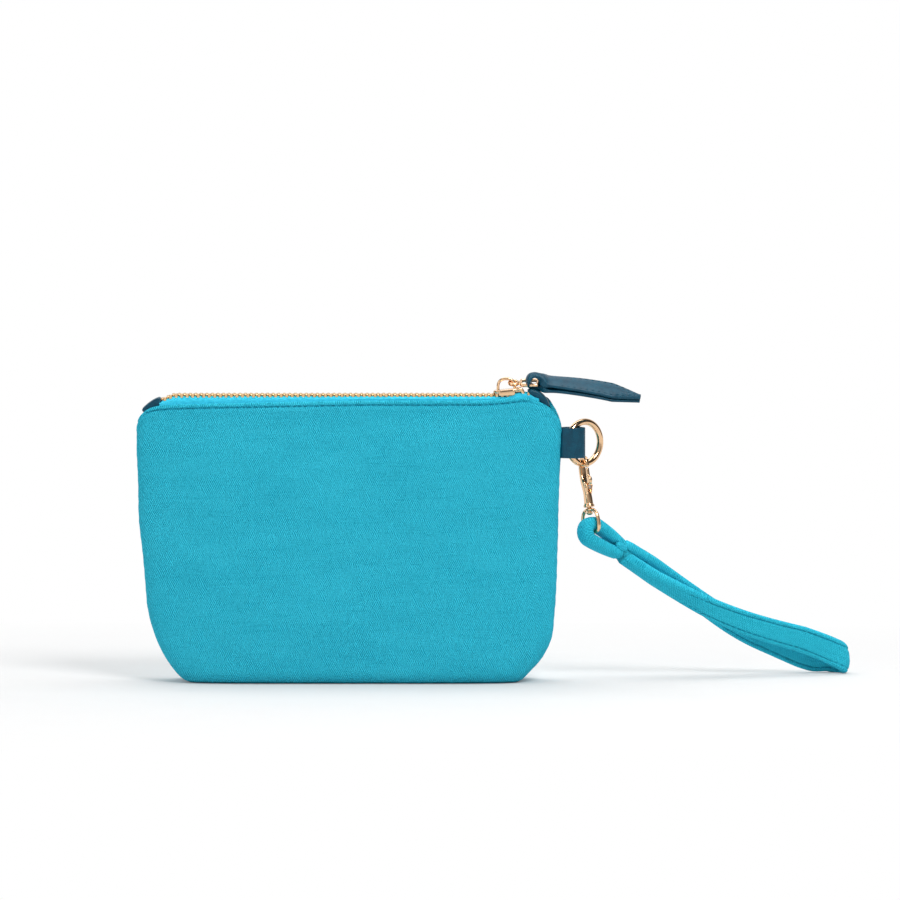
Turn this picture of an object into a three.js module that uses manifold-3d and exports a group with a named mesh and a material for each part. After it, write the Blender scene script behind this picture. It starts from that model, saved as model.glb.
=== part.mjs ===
// A small zipped cloth pouch with a wrist strap that hangs from a ring by a swivel snap hook.
// Millimetres, +Z up, the front towards -Y. The origin is the middle of the base, on the floor.
import * as THREE from 'three';
import { mergeVertices } from 'three/addons/utils/BufferGeometryUtils.js';
import Module from 'manifold-3d';

const wasm = await Module();
wasm.setup();

const clearance = 0.3;

// Cloth body
const bodyHeight = 133.4;
const topHalfWidth = 101.2;
const hipInset = 3.4;
const baseInset = 22.2;
const hipHalfWidth = topHalfWidth - hipInset;
const baseHalfWidth = topHalfWidth - baseInset;
const cornerRise = 40;
const cornerPower = 1.5;
const shoulderRise = 14;
const shoulderInset = 2.4;
const baseHalfDepth = 19;
const topHalfDepth = 7.6;
const baseRound = 6;
const baseShift = 2.4;
const sideBulge = 0.85;
const middleSquareness = 3.2;
const edgeSquareness = 5;
const outlineSteps = 60;
const leastRound = 2;
const clothWall = 1.4;
const liningWall = 0.6;
const liningDrop = 3;
const frontLift = 0.4;
const shoulderCutWidth = 11;
const shoulderCutDrop = 4.5;

// Zip
const zipLeftInset = 12.2;
const zipRightInset = 14.8;
const zipLeft = zipLeftInset - topHalfWidth;
const zipRight = topHalfWidth - zipRightInset;
const tapeWall = 0.6;
const tapeTuck = 8;
const chainRise = 3.6;
const chainHeight = bodyHeight + chainRise;
const toothThickness = 2.4;
const toothPitch = 2.65;
const toothReach = 1.5;
const beadInner = 1.9;
const beadOuter = 3.4;
const chainShort = 6.8;
const chainRight = zipRight - chainShort;

// Leather tabs over the zip's ends
const endTabLength = 9.5;
const endTabRise = 0.5;
const endTabDrop = 6.4;
const endTabHalfWidth = 4.8;
const endTabRound = 0.6;
const endTabCrown = 2.4;
const endTabFall = 0.4;

// Slider, its crown, the link and the leather pull
const sliderBack = 15.2;
const sliderLeft = zipRight - sliderBack;
const sliderLength = 12.6;
const sliderPlate = 1.1;
const sliderHalfWidth = 4.7;
const sliderFlange = 0.9;
const sliderLip = 1.1;
const keelHalfWidth = 3.2;
const postLength = 3;
const postHalfWidth = 1.1;
const sliderChamfer = 1.6;
const sliderNose = 4;
const keelShort = 1;
const sunk = 0.2;
const crownRadius = 4;
const crownLeg = 1.5;
const crownWire = 1.2;
const crownHalfWidth = 0.9;
const crownLift = 0.02;
const eyeletHole = 1.9;
const eyeletWall = 0.8;
const linkThickness = 1;
const linkLean = 30;
const linkLength = 11.8;
const linkHalfWidth = 3.7;
const linkBar = 1.1;
const linkShoulder = 1.2;
const linkSlotShoulder = 1.5;
const linkCorner = 1;
const eyeletOpening = 0.7;
const linkRoll = 20;
const linkDip = 0;
const pullLength = 51;
const pullDip = 9.4;
const pullHalfWidth = 6.3;
const pullNeckHalfWidth = 2.3;
const pullNeckLength = 8;
const pullSkin = 1.4;
const pullFoldRadius = 3.9;
const pullFoldRise = 0.9;
const pullFoldLead = 0.3;
const pullLayerGap = 0.5;
const pullTipChamfer = 13.5;
const pullTipHalfWidth = 1.8;
const pullFlareStart = 4;
const pullFlareFirst = 8.8;
const pullFlareSecond = 10.4;
const pullFlareHalfWidth = 5;
const pullFlareEnd = 23;

// Leather side tab and the ring
const tabHeight = 14;
const tabDrop = 19.1;
const tabSeat = 4.2;
const tabMiddle = bodyHeight - tabDrop;
const tabStart = topHalfWidth - tabSeat;
const tabSkin = 1.3;
const tabFoldOut = 1.8;
const tabFoldStart = topHalfWidth + tabFoldOut;
const tabFoldHalfWidth = 3.1;
const tabFoldReach = 7.8;
const tabFoldEnd = topHalfWidth + tabFoldReach;
const tabFoldEase = 3;
const tabFoldLead = 1.6;
const ringRadius = 10.1;
const ringWire = 1.6;
const ringYaw = 40;
const ringSides = 10;
const ringSteps = 40;
const ringOut = 4.3;
const ringSeatX = topHalfWidth + ringOut;
const ringSeatY = -0.9;

// Snap hook: heights are below the middle of the ring's wire
const hookSwing = 10;
const hookHalfWidth = 3.9;
const hookHalfThickness = 1.7;
const hookInside = 2;
const hookCrest = 3.7;
const noseDepth = 2.2;
const mouthDepth = 8.4;
const mouthEase = 1.2;
const hipHalfWidthLeft = 3.1;
const hipHalfWidthRight = 2.8;
const cheekHalfWidth = 3.7;
const cheekDrop = 1;
const shankTop = 13.5;
const shankHalfWidth = 1.7;
const collarDepth = 19.9;
const collarThickness = 1.2;
const collarRadius = 2.9;
const rivetRadius = 2.1;
const rivetShank = 1.1;
const rivetThickness = 1.1;
const gateHalfThickness = 0.65;
const gateWidth = 1.8;
const gatePivotX = 2;
const gatePivotDepth = 11;
const gateHub = 1.6;
const knobReach = 1.4;
const knobTop = 6.4;
const knobBottom = 9.6;
const knobSlope = 0.8;
const pinRadius = 0.6;
const pinHead = 1;
const springWire = 0.5;
const eyeTopBar = 1.9;
const eyeWire = 1.7;
const eyeHalfWidth = 6.8;
const eyeHeight = 12.6;
const eyeHalfThickness = 1.3;
const eyeBoss = 2.5;
const eyeTopHalfWidth = 3;
const eyeShoulder = 4.5;
const eyeShoulderLead = 1;
const eyeCorner = 2.4;
const eyeInnerCorner = 0.7;

// Wrist strap
const strapSlope = 29.7;
const smallLoopLength = 20.5;
const smallLoopThickness = 4.7;
const smallLoopWidth = 9;
const pinchThickness = 4.2;
const pinchWidth = 7.6;
const bandThickness = 3.2;
const bandWidth = 13.2;
const handLoopRun = 103.5;
const handLoopRest = 8.72;
const handLoopSag = 6.8;
const sagPower = 1.3;
const handLoopBack = 23;
const layerGap = 7;
const layerGapGrows = 0.16;
const pinchSwell = 0.6;
const bandCorner = 0.3;
const handLoopBow = 9;
const frontTurnEnd = 0.65;
const firstOffsetTurn = -80;
const lastOffsetTurn = 45;
const offsetTurnEase = 0.5;
const offsetTurnFall = 20;
const offsetFallStart = 0.85;
const loopEnds = 2;

const radians = Math.PI / 180;

// The least and most that a value may be.
function within(value, least, most) {
  return Math.min(Math.max(value, least), most);
}

function mix(a, b, share) {
  return a + (b - a) * share;
}

// Solids for joining and cutting, and back to a geometry.
function toSolid(geometry) {
  const bare = geometry.clone();
  bare.deleteAttribute('normal');
  bare.deleteAttribute('uv');
  const merged = mergeVertices(bare, 1e-4);
  return new wasm.Manifold(new wasm.Mesh({
    numProp: 3,
    vertProperties: new Float32Array(merged.attributes.position.array),
    triVerts: new Uint32Array(merged.index.array),
  }));
}

function toGeometry(solid) {
  const mesh = solid.getMesh();
  const geometry = new THREE.BufferGeometry();
  geometry.setAttribute('position', new THREE.BufferAttribute(new Float32Array(mesh.vertProperties), 3));
  geometry.setIndex(new THREE.BufferAttribute(new Uint32Array(mesh.triVerts), 1));
  geometry.computeVertexNormals();
  return geometry;
}

// A solid box from its two corners.
function block(low, high) {
  const size = new THREE.Vector3().subVectors(high, low);
  const geometry = new THREE.BoxGeometry(size.x, size.y, size.z);
  geometry.translate((low.x + high.x) / 2, (low.y + high.y) / 2, (low.z + high.z) / 2);
  return toSolid(geometry);
}

function blockOf(x0, x1, y0, y1, z0, z1) {
  return block(new THREE.Vector3(x0, y0, z0), new THREE.Vector3(x1, y1, z1));
}

// An outline in X and Z, given thickness along Y about y = 0.
function slabAlongY(shape, halfThickness, curveSegments = 8) {
  const geometry = new THREE.ExtrudeGeometry(shape, {
    depth: 2 * halfThickness,
    bevelEnabled: false,
    curveSegments,
  });
  geometry.translate(0, 0, -halfThickness);
  geometry.rotateX(Math.PI / 2);
  return toSolid(geometry);
}

// An outline in X and Y, given thickness along Z from low to high.
function slabAlongZ(shape, low, high, curveSegments = 8) {
  const geometry = new THREE.ExtrudeGeometry(shape, {
    depth: high - low,
    bevelEnabled: false,
    curveSegments,
  });
  geometry.translate(0, 0, low);
  return toSolid(geometry);
}

// An outline in Y and Z, run along X from low to high.
function slabAlongX(points, low, high) {
  const geometry = new THREE.ExtrudeGeometry(new THREE.Shape(points), {
    depth: high - low,
    bevelEnabled: false,
  });
  geometry.translate(0, 0, low);
  geometry.rotateX(Math.PI / 2);
  geometry.rotateZ(Math.PI / 2);
  return toSolid(geometry);
}

function pillar(radius, low, high, sides = 20) {
  const geometry = new THREE.CylinderGeometry(radius, radius, high - low, sides);
  geometry.rotateX(Math.PI / 2);
  geometry.translate(0, 0, (low + high) / 2);
  return toSolid(geometry);
}

function crossPin(radius, halfLength, x, z, sides = 16) {
  const geometry = new THREE.CylinderGeometry(radius, radius, 2 * halfLength, sides);
  geometry.translate(x, 0, z);
  return toSolid(geometry);
}

function polygon(pairs) {
  return new THREE.Shape(pairs.map(([x, y]) => new THREE.Vector2(x, y)));
}

// A solid skinned over closed sections that all have as many points. A ring of sections has no caps.
function skin(sections, closed) {
  const count = sections[0].length;
  const positions = sections.flat().flatMap((point) => [point.x, point.y, point.z]);
  const faces = [];
  const spans = closed ? sections.length : sections.length - 1;
  for (let span = 0; span < spans; span += 1) {
    const here = span * count;
    const there = ((span + 1) % sections.length) * count;
    for (let side = 0; side < count; side += 1) {
      const next = (side + 1) % count;
      faces.push(here + side, here + next, there + next);
      faces.push(here + side, there + next, there + side);
    }
  }
  if (!closed) {
    const last = (sections.length - 1) * count;
    for (let side = 1; side < count - 1; side += 1) {
      faces.push(0, side + 1, side);
      faces.push(last, last + side, last + side + 1);
    }
  }
  const geometry = new THREE.BufferGeometry();
  geometry.setAttribute('position', new THREE.Float32BufferAttribute(positions, 3));
  geometry.setIndex(faces);
  return toSolid(geometry);
}

// Half the pouch's width and depth at a height.
function halfWidthAt(z) {
  const low = within(z / cornerRise, 0, 1);
  const corner = Math.pow(1 - Math.pow(1 - low, cornerPower), 1 / cornerPower);
  const flareHeight = bodyHeight - shoulderRise - cornerRise;
  const flare = within((z - cornerRise) / flareHeight, 0, 1) * (topHalfWidth - hipHalfWidth);
  const over = within((z - bodyHeight + shoulderRise) / shoulderRise, 0, 1);
  return mix(baseHalfWidth, hipHalfWidth, corner) + flare - shoulderInset * over * over;
}

function halfDepthAt(z, round) {
  const up = within(z / bodyHeight, 0, 1);
  const slope = mix(topHalfDepth, baseHalfDepth, Math.pow(1 - up, sideBulge));
  const under = within(round - z, 0, round);
  return slope - round + Math.sqrt(round * round - under * under);
}

// The pouch's outline at a height: a rounded oblong, squarer at the base and at the top edge.
function outlineAt(z, side, floor) {
  const level = Math.max(z - floor, 0);
  const halfWidth = halfWidthAt(level) - side;
  const halfDepth = halfDepthAt(level, Math.max(baseRound - side, leastRound)) - side;
  const up = within(z / bodyHeight, 0, 1);
  const power = mix(middleSquareness, edgeSquareness, Math.pow(2 * up - 1, 2));
  const middle = baseShift * Math.pow(1 - within(z / cornerRise, 0, 1), 2);
  const points = [];
  for (let step = 0; step < outlineSteps; step += 1) {
    const turn = (2 * Math.PI * step) / outlineSteps;
    const across = Math.sign(Math.cos(turn)) * Math.pow(Math.abs(Math.cos(turn)), 2 / power);
    const along = Math.sign(Math.sin(turn)) * Math.pow(Math.abs(Math.sin(turn)), 2 / power);
    points.push(new THREE.Vector3(middle + halfWidth * across, halfDepth * along, z));
  }
  return points;
}

// The whole pouch as one solid, set in by side and lifted by floor, up to a height.
function pouchForm(side, floor, top) {
  const shoulder = bodyHeight - shoulderRise;
  const heights = [0, 0.13, 0.37, 0.7, 1].map((share) => share * baseRound);
  heights.push(...[0.15, 0.35, 0.65, 1].map((share) => mix(baseRound, cornerRise, share)));
  heights.push(...[0.25, 0.5, 0.75, 1].map((share) => mix(cornerRise, shoulder, share)));
  heights.push(mix(shoulder, bodyHeight, 0.5), bodyHeight);
  const levels = heights.map((z) => z + floor).filter((z) => z < top - clearance);
  levels.push(top);
  return skin(levels.map((z) => outlineAt(z, side, floor)), false);
}

const spare = 20;
const reach = topHalfWidth + spare;
const aboveAll = bodyHeight + spare;
const foldY = -(baseHalfDepth - baseRound);

// What the shoulders, the zip's end tabs and the side tab take out of the walls.
function shoulderCut(sign, inner) {
  const slope = shoulderCutDrop / shoulderCutWidth;
  return slabAlongY(polygon([
    [sign * inner, bodyHeight],
    [sign * reach, bodyHeight - (reach - inner) * slope],
    [sign * reach, aboveAll],
    [sign * inner, aboveAll],
  ]), baseHalfDepth);
}

function sideTabSlot() {
  const halfWidth = tabSkin + clearance / 2 + clearance;
  const halfHeight = tabHeight / 2 + clearance;
  const low = tabMiddle - halfHeight;
  return blockOf(tabStart - clearance, reach, -halfWidth, halfWidth, low, low + 2 * halfHeight);
}

function trimmedWalls(shell) {
  const cuts = [shoulderCut(-1, -zipLeft), shoulderCut(1, zipRight), sideTabSlot()];
  return cuts.reduce((solid, cut) => solid.subtract(cut), shell);
}

function wallShell() {
  const outer = pouchForm(0, 0, bodyHeight);
  const inner = pouchForm(clothWall, clothWall, aboveAll);
  return trimmedWalls(outer.subtract(inner));
}

function liningShell() {
  const gap = clothWall + tapeWall + 2 * clearance;
  const floor = clothWall + clearance;
  const outer = pouchForm(gap, floor, bodyHeight - liningDrop);
  const inner = pouchForm(gap + liningWall, floor + liningWall, bodyHeight);
  return trimmedWalls(outer.subtract(inner));
}

// The front wall ends where the cloth folds under the pouch. The back wall carries the base.
function frontHalf(shell, underside) {
  const half = shell.intersect(blockOf(-reach, reach, -reach, -clearance / 2, frontLift, aboveAll));
  return half.subtract(blockOf(-reach, reach, foldY - clearance / 2, reach, -1, underside + clearance));
}

function backHalf(shell, underside) {
  const half = shell.intersect(blockOf(-reach, reach, clearance / 2, reach, -1, aboveAll));
  const base = shell.intersect(blockOf(-reach, reach, foldY + clearance / 2, 1, -1, underside));
  return half.add(base);
}

// A zip tape: tucked between wall and lining, then rising over the fold to the teeth.
function zipTape() {
  const side = clothWall + clearance;
  const outer = pouchForm(side, clearance, bodyHeight + tapeWall);
  const inner = pouchForm(side + tapeWall, clearance, aboveAll);
  const span = blockOf(zipLeft, zipRight, -reach, -clearance / 2, bodyHeight - tapeTuck, aboveAll);
  const tucked = outer.subtract(inner).intersect(span);
  const foldOut = topHalfDepth - side;
  const rise = tapeWall * 1.5;
  const roof = slabAlongX([
    new THREE.Vector2(-foldOut, bodyHeight - rise / 2),
    new THREE.Vector2(-beadOuter - clearance, chainHeight - rise),
    new THREE.Vector2(-beadOuter - clearance, chainHeight),
    new THREE.Vector2(-foldOut, bodyHeight + rise / 2),
  ], zipLeft, zipRight);
  const column = pouchForm(side, clearance, aboveAll);
  return trimmedTape(tucked.add(roof.intersect(column)));
}

function trimmedTape(tape) {
  const cuts = [shoulderCut(-1, -zipLeft), shoulderCut(1, zipRight)];
  return cuts.reduce((solid, cut) => solid.subtract(cut), tape);
}

// A row of teeth on its bead, as one comb. The two rows mesh half a pitch apart.
function toothRow(offset) {
  const toothWidth = toothPitch / 2 - clearance;
  const points = [[zipLeft, -beadOuter], [chainRight, -beadOuter], [chainRight, -beadInner]];
  const teeth = Math.floor((chainRight - zipLeft - toothPitch) / toothPitch);
  for (let tooth = teeth - 1; tooth >= 0; tooth -= 1) {
    const left = zipLeft + offset + tooth * toothPitch;
    points.push([left + toothWidth, -beadInner]);
    points.push([left + toothWidth, toothReach]);
    points.push([left, toothReach]);
    points.push([left, -beadInner]);
  }
  points.push([zipLeft, -beadInner]);
  return slabAlongZ(polygon(points), chainHeight - toothThickness / 2, chainHeight + toothThickness / 2);
}

// A leather tab over one end of the zip, sloping down between the two walls.
function endTab(sign, start) {
  const inner = sign * start + clearance;
  const outer = inner + endTabLength;
  const top = chainHeight + toothThickness / 2 + endTabRise;
  const slope = shoulderCutDrop / shoulderCutWidth;
  const under = bodyHeight + clearance;
  const profile = polygon([
    [sign * inner, under],
    [sign * inner, top - endTabRound],
    [sign * (inner + endTabRound), top],
    [sign * (inner + endTabCrown), top - endTabFall],
    [sign * outer, top - endTabDrop],
    [sign * outer, under - slope * endTabLength],
  ]);
  return slabAlongY(profile, endTabHalfWidth);
}

// Slider: a top plate with lips over the teeth, a keel under them and a post between the rows.
function sliderBody() {
  const top = chainHeight + toothThickness / 2 + clearance;
  const low = chainHeight - toothThickness / 2 - clearance;
  const right = sliderLeft + sliderLength;
  const plate = new THREE.Shape();
  plate.moveTo(sliderLeft, -sliderHalfWidth + sliderChamfer);
  plate.lineTo(sliderLeft + sliderChamfer, -sliderHalfWidth);
  plate.lineTo(right - sliderNose, -sliderHalfWidth);
  plate.quadraticCurveTo(right, -sliderHalfWidth, right, 0);
  plate.quadraticCurveTo(right, sliderHalfWidth, right - sliderNose, sliderHalfWidth);
  plate.lineTo(sliderLeft + sliderChamfer, sliderHalfWidth);
  plate.lineTo(sliderLeft, sliderHalfWidth - sliderChamfer);
  const roof = slabAlongZ(plate, top, top + sliderPlate, 6);
  const keel = blockOf(sliderLeft, right - keelShort, -keelHalfWidth, keelHalfWidth, low - sliderPlate, low);
  const post = blockOf(chainRight + clearance, chainRight + clearance + postLength,
    -postHalfWidth, postHalfWidth, low - sunk, top + sunk);
  const lips = [-1, 1].map((side) => {
    const edges = [side * sliderHalfWidth, side * (sliderHalfWidth - sliderFlange)].sort((a, b) => a - b);
    const left = sliderLeft + sliderChamfer;
    return blockOf(left, right - sliderNose, edges[0], edges[1], top - sliderLip, top + sunk);
  });
  return [keel, post, ...lips].reduce((solid, piece) => solid.add(piece), roof);
}

const plateTop = chainHeight + toothThickness / 2 + clearance + sliderPlate;
const crownX = sliderLeft + crownWire / 2 + crownRadius;
const crownZ = plateTop + crownLeg;

// The arch on the slider that holds the link.
function sliderCrown() {
  const outer = crownRadius + crownWire / 2;
  const inner = crownRadius - crownWire / 2;
  const shape = new THREE.Shape();
  shape.moveTo(-outer, -crownLeg + crownLift);
  shape.lineTo(-outer, 0);
  shape.absarc(0, 0, outer, Math.PI, 0, true);
  shape.lineTo(outer, -crownLeg + crownLift);
  shape.lineTo(inner, -crownLeg + crownLift);
  shape.lineTo(inner, 0);
  shape.absarc(0, 0, inner, 0, Math.PI, false);
  shape.lineTo(-inner, -crownLeg + crownLift);
  return slabAlongY(shape, crownHalfWidth, 9).translate([crownX, 0, crownZ]);
}

// The flat link from the crown to the leather: an eyelet, a neck and a slot. Its origin is the eyelet.
function pullLink() {
  const eyelet = eyeletHole + eyeletWall;
  const outline = new THREE.Shape();
  outline.absarc(0, 0, eyelet, eyeletOpening, 2 * Math.PI - eyeletOpening, false);
  outline.lineTo(eyelet + linkShoulder, -linkHalfWidth);
  outline.lineTo(linkLength - linkCorner, -linkHalfWidth);
  outline.quadraticCurveTo(linkLength, -linkHalfWidth, linkLength, -linkHalfWidth + linkCorner);
  outline.lineTo(linkLength, linkHalfWidth - linkCorner);
  outline.quadraticCurveTo(linkLength, linkHalfWidth, linkLength - linkCorner, linkHalfWidth);
  outline.lineTo(eyelet + linkShoulder, linkHalfWidth);
  const hole = new THREE.Path();
  hole.absarc(0, 0, eyeletHole, 0, 2 * Math.PI, true);
  const slot = new THREE.Path();
  const slotStart = eyelet + linkSlotShoulder;
  const slotEnd = linkLength - linkBar;
  const slotHalf = linkHalfWidth - linkBar;
  slot.moveTo(slotStart, -slotHalf);
  slot.lineTo(slotStart, slotHalf);
  slot.lineTo(slotEnd, slotHalf);
  slot.lineTo(slotEnd, -slotHalf);
  outline.holes.push(hole, slot);
  return slabAlongZ(outline, -linkThickness / 2, linkThickness / 2, 6);
}

// The leather pull: one strip folded round the link's end bar, its two layers lying together.
function leatherPull() {
  const outer = pullFoldRadius;
  const inner = pullFoldRadius - pullSkin;
  const rise = pullFoldRise;
  const lead = pullFoldLead;
  const half = pullLayerGap / 2;
  const layer = half + pullSkin;
  const join = pullNeckLength;
  const shape = new THREE.Shape();
  shape.moveTo(pullLength, layer);
  shape.lineTo(join, layer);
  shape.quadraticCurveTo(outer, rise + outer, -lead, rise + outer);
  shape.absarc(-lead, rise, outer, Math.PI / 2, 1.5 * Math.PI, false);
  shape.quadraticCurveTo(outer, rise - outer, join, -layer);
  shape.lineTo(pullLength, -layer);
  shape.lineTo(pullLength, -half);
  shape.lineTo(join, -half);
  shape.quadraticCurveTo(outer, rise - inner, -lead, rise - inner);
  shape.absarc(-lead, rise, inner, 1.5 * Math.PI, Math.PI / 2, true);
  shape.quadraticCurveTo(outer, rise + inner, join, half);
  shape.lineTo(pullLength, half);
  const folded = slabAlongY(shape, pullHalfWidth, 6);
  const neck = pullNeckHalfWidth;
  const wide = pullHalfWidth;
  const plan = new THREE.Shape();
  const flare = pullFlareHalfWidth;
  plan.moveTo(-2 * outer, -neck);
  plan.lineTo(pullFlareStart, -neck);
  plan.bezierCurveTo(pullFlareFirst, -neck, pullFlareSecond, -flare, pullFlareEnd, -wide);
  plan.lineTo(pullLength - pullTipChamfer, -wide);
  plan.lineTo(pullLength, -pullTipHalfWidth);
  plan.lineTo(pullLength, pullTipHalfWidth);
  plan.lineTo(pullLength - pullTipChamfer, wide);
  plan.lineTo(pullFlareEnd, wide);
  plan.bezierCurveTo(pullFlareSecond, flare, pullFlareFirst, neck, pullFlareStart, neck);
  plan.lineTo(-2 * outer, neck);
  return folded.intersect(slabAlongZ(plan, -2 * outer, 2 * outer, 6));
}

// The side tab: a leather strip out of the side seam, folded round the ring and sewn to itself.
function sideTab() {
  const inner = tabFoldHalfWidth;
  const outer = tabFoldHalfWidth + tabSkin;
  const half = clearance / 2;
  const layer = half + tabSkin;
  const straight = tabFoldStart - tabFoldLead;
  const full = tabFoldStart + tabFoldEase;
  const shape = new THREE.Shape();
  shape.moveTo(tabStart, -layer);
  shape.lineTo(straight, -layer);
  shape.quadraticCurveTo(tabFoldStart, -outer, full, -outer);
  shape.lineTo(tabFoldEnd, -outer);
  shape.absarc(tabFoldEnd, 0, outer, -Math.PI / 2, Math.PI / 2, false);
  shape.lineTo(full, outer);
  shape.quadraticCurveTo(tabFoldStart, outer, straight, layer);
  shape.lineTo(tabStart, layer);
  shape.lineTo(tabStart, half);
  shape.lineTo(straight, half);
  shape.quadraticCurveTo(tabFoldStart, inner, full, inner);
  shape.lineTo(tabFoldEnd, inner);
  shape.absarc(tabFoldEnd, 0, inner, Math.PI / 2, -Math.PI / 2, true);
  shape.lineTo(full, -inner);
  shape.quadraticCurveTo(tabFoldStart, -inner, straight, -half);
  shape.lineTo(tabStart, -half);
  return slabAlongZ(shape, tabMiddle - tabHeight / 2, tabMiddle + tabHeight / 2, 8);
}

function ring() {
  const geometry = new THREE.TorusGeometry(ringRadius, ringWire, ringSides, ringSteps);
  geometry.rotateX(Math.PI / 2);
  return toSolid(geometry);
}

// The hook: its bow over the ring, the body with a slot for the gate, the shank, collar and rivet.
function snapHook() {
  const bow = new THREE.Shape();
  const crestY = hookCrest - hookHalfWidth;
  bow.moveTo(hookInside, -noseDepth);
  bow.lineTo(hookHalfWidth, -noseDepth);
  bow.lineTo(hookHalfWidth, crestY);
  bow.absarc(0, crestY, hookHalfWidth, 0, Math.PI, false);
  bow.lineTo(-hookHalfWidth, -mouthDepth);
  bow.lineTo(-hipHalfWidthLeft, -shankTop);
  bow.lineTo(-shankHalfWidth, -collarDepth - sunk);
  bow.lineTo(shankHalfWidth, -collarDepth - sunk);
  bow.lineTo(hipHalfWidthRight, -shankTop);
  bow.lineTo(cheekHalfWidth, -mouthDepth - cheekDrop);
  bow.lineTo(cheekHalfWidth - cheekDrop, -mouthDepth);
  bow.lineTo(-hookInside + mouthEase, -mouthDepth);
  bow.lineTo(-hookInside, -mouthDepth + mouthEase);
  bow.lineTo(-hookInside, 0);
  bow.absarc(0, 0, hookInside, Math.PI, 0, true);
  const body = slabAlongY(bow, hookHalfThickness, 9);
  const slotHalf = gateHalfThickness + clearance;
  const hubRoom = gateHub + clearance;
  const slot = blockOf(gatePivotX - hubRoom, 2 * hookHalfWidth, -slotHalf, slotHalf,
    -gatePivotDepth - hubRoom, -mouthDepth + sunk);
  const hole = crossPin(pinRadius + clearance, 2 * hookHalfThickness, gatePivotX, -gatePivotDepth);
  const rivetTop = collarDepth + collarThickness + clearance + eyeTopBar + clearance;
  const collar = pillar(collarRadius, -collarDepth - collarThickness, -collarDepth);
  const post = pillar(rivetShank, -rivetTop - sunk, -collarDepth - sunk);
  const head = pillar(rivetRadius, -rivetTop - rivetThickness, -rivetTop);
  return body.subtract(slot).subtract(hole).add(collar).add(post).add(head);
}

// The sprung gate that shuts the hook's mouth, with its thumb knob.
function gate() {
  const inner = hookInside;
  const outer = hookInside + gateWidth;
  const shape = new THREE.Shape();
  shape.moveTo(inner, -noseDepth - clearance);
  shape.lineTo(inner, -gatePivotDepth);
  shape.absarc(gatePivotX, -gatePivotDepth, gateHub, Math.PI, 2 * Math.PI, false);
  shape.lineTo(outer, -knobBottom);
  shape.lineTo(outer + knobReach, -knobBottom + knobSlope);
  shape.lineTo(outer + knobReach, -knobTop);
  shape.lineTo(outer, -knobTop);
  shape.lineTo(outer, -noseDepth - clearance);
  const hub = crossPin(gateHub, gateHalfThickness, gatePivotX, -gatePivotDepth);
  const lever = slabAlongY(shape, gateHalfThickness, 8).add(hub);
  const recess = crossPin(gateHub + clearance, springWire + clearance, gatePivotX, -gatePivotDepth)
    .translate([0, gateHalfThickness + clearance / 2, 0]);
  const hole = crossPin(pinRadius + clearance, 2 * gateHalfThickness, gatePivotX, -gatePivotDepth);
  return lever.subtract(recess).subtract(hole);
}

// The gate's return spring: a turn of wire round the pin, beside the gate, with a leg to the slot's end.
function gateSpring() {
  const inner = pinRadius + clearance;
  const outer = inner + springWire;
  const turn = crossPin(outer, springWire / 2, gatePivotX, -gatePivotDepth)
    .subtract(crossPin(inner, springWire, gatePivotX, -gatePivotDepth));
  const half = springWire / 2;
  const leg = blockOf(gatePivotX - half, gatePivotX + half, -half, half,
    -gatePivotDepth - gateHub, -gatePivotDepth - (inner + outer) / 2);
  return turn.add(leg).translate([0, gateHalfThickness + clearance - half, 0]);
}

function gatePin() {
  const cheek = hookHalfThickness + clearance;
  const shank = crossPin(pinRadius, cheek + sunk, gatePivotX, -gatePivotDepth);
  const head = crossPin(pinHead, cheek + 2 * sunk, gatePivotX, -gatePivotDepth);
  const around = 2 * pinHead;
  const low = -gatePivotDepth - around;
  const room = blockOf(gatePivotX - around, gatePivotX + around, -cheek, cheek, low, low + 2 * around);
  return head.subtract(room).add(shank);
}

const eyeTop = collarDepth + collarThickness + clearance;
const eyeBar = eyeTop + eyeHeight - eyeWire / 2;

// The swivelling eye under the hook: a top bar with the rivet's hole and a loop for the strap.
function swivelEye() {
  const outline = new THREE.Shape();
  const half = eyeHalfWidth;
  const low = -eyeTop - eyeHeight;
  outline.moveTo(-eyeTopHalfWidth, -eyeTop);
  outline.quadraticCurveTo(-half, -eyeTop - eyeShoulderLead, -half, -eyeTop - eyeShoulder);
  outline.lineTo(-half, low + eyeCorner);
  outline.quadraticCurveTo(-half, low, -half + eyeCorner, low);
  outline.lineTo(half - eyeCorner, low);
  outline.quadraticCurveTo(half, low, half, low + eyeCorner);
  outline.lineTo(half, -eyeTop - eyeShoulder);
  outline.quadraticCurveTo(half, -eyeTop - eyeShoulderLead, eyeTopHalfWidth, -eyeTop);
  const window = new THREE.Path();
  const inner = half - eyeWire;
  const lintel = -eyeTop - eyeTopBar;
  const sill = low + eyeWire;
  window.moveTo(-eyeTopHalfWidth, lintel);
  window.lineTo(eyeTopHalfWidth, lintel);
  window.quadraticCurveTo(inner, lintel, inner, -eyeTop - eyeShoulder);
  window.lineTo(inner, sill + eyeInnerCorner);
  window.lineTo(inner - eyeInnerCorner, sill);
  window.lineTo(-inner + eyeInnerCorner, sill);
  window.lineTo(-inner, sill + eyeInnerCorner);
  window.lineTo(-inner, -eyeTop - eyeShoulder);
  window.quadraticCurveTo(-inner, lintel, -eyeTopHalfWidth, lintel);
  outline.holes.push(window);
  const boss = pillar(eyeBoss, -eyeTop - eyeTopBar, -eyeTop);
  const hole = pillar(rivetShank + clearance, lintel - sunk, -eyeTop + sunk);
  return slabAlongY(outline, eyeHalfThickness, 5).add(boss).subtract(hole);
}

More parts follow.
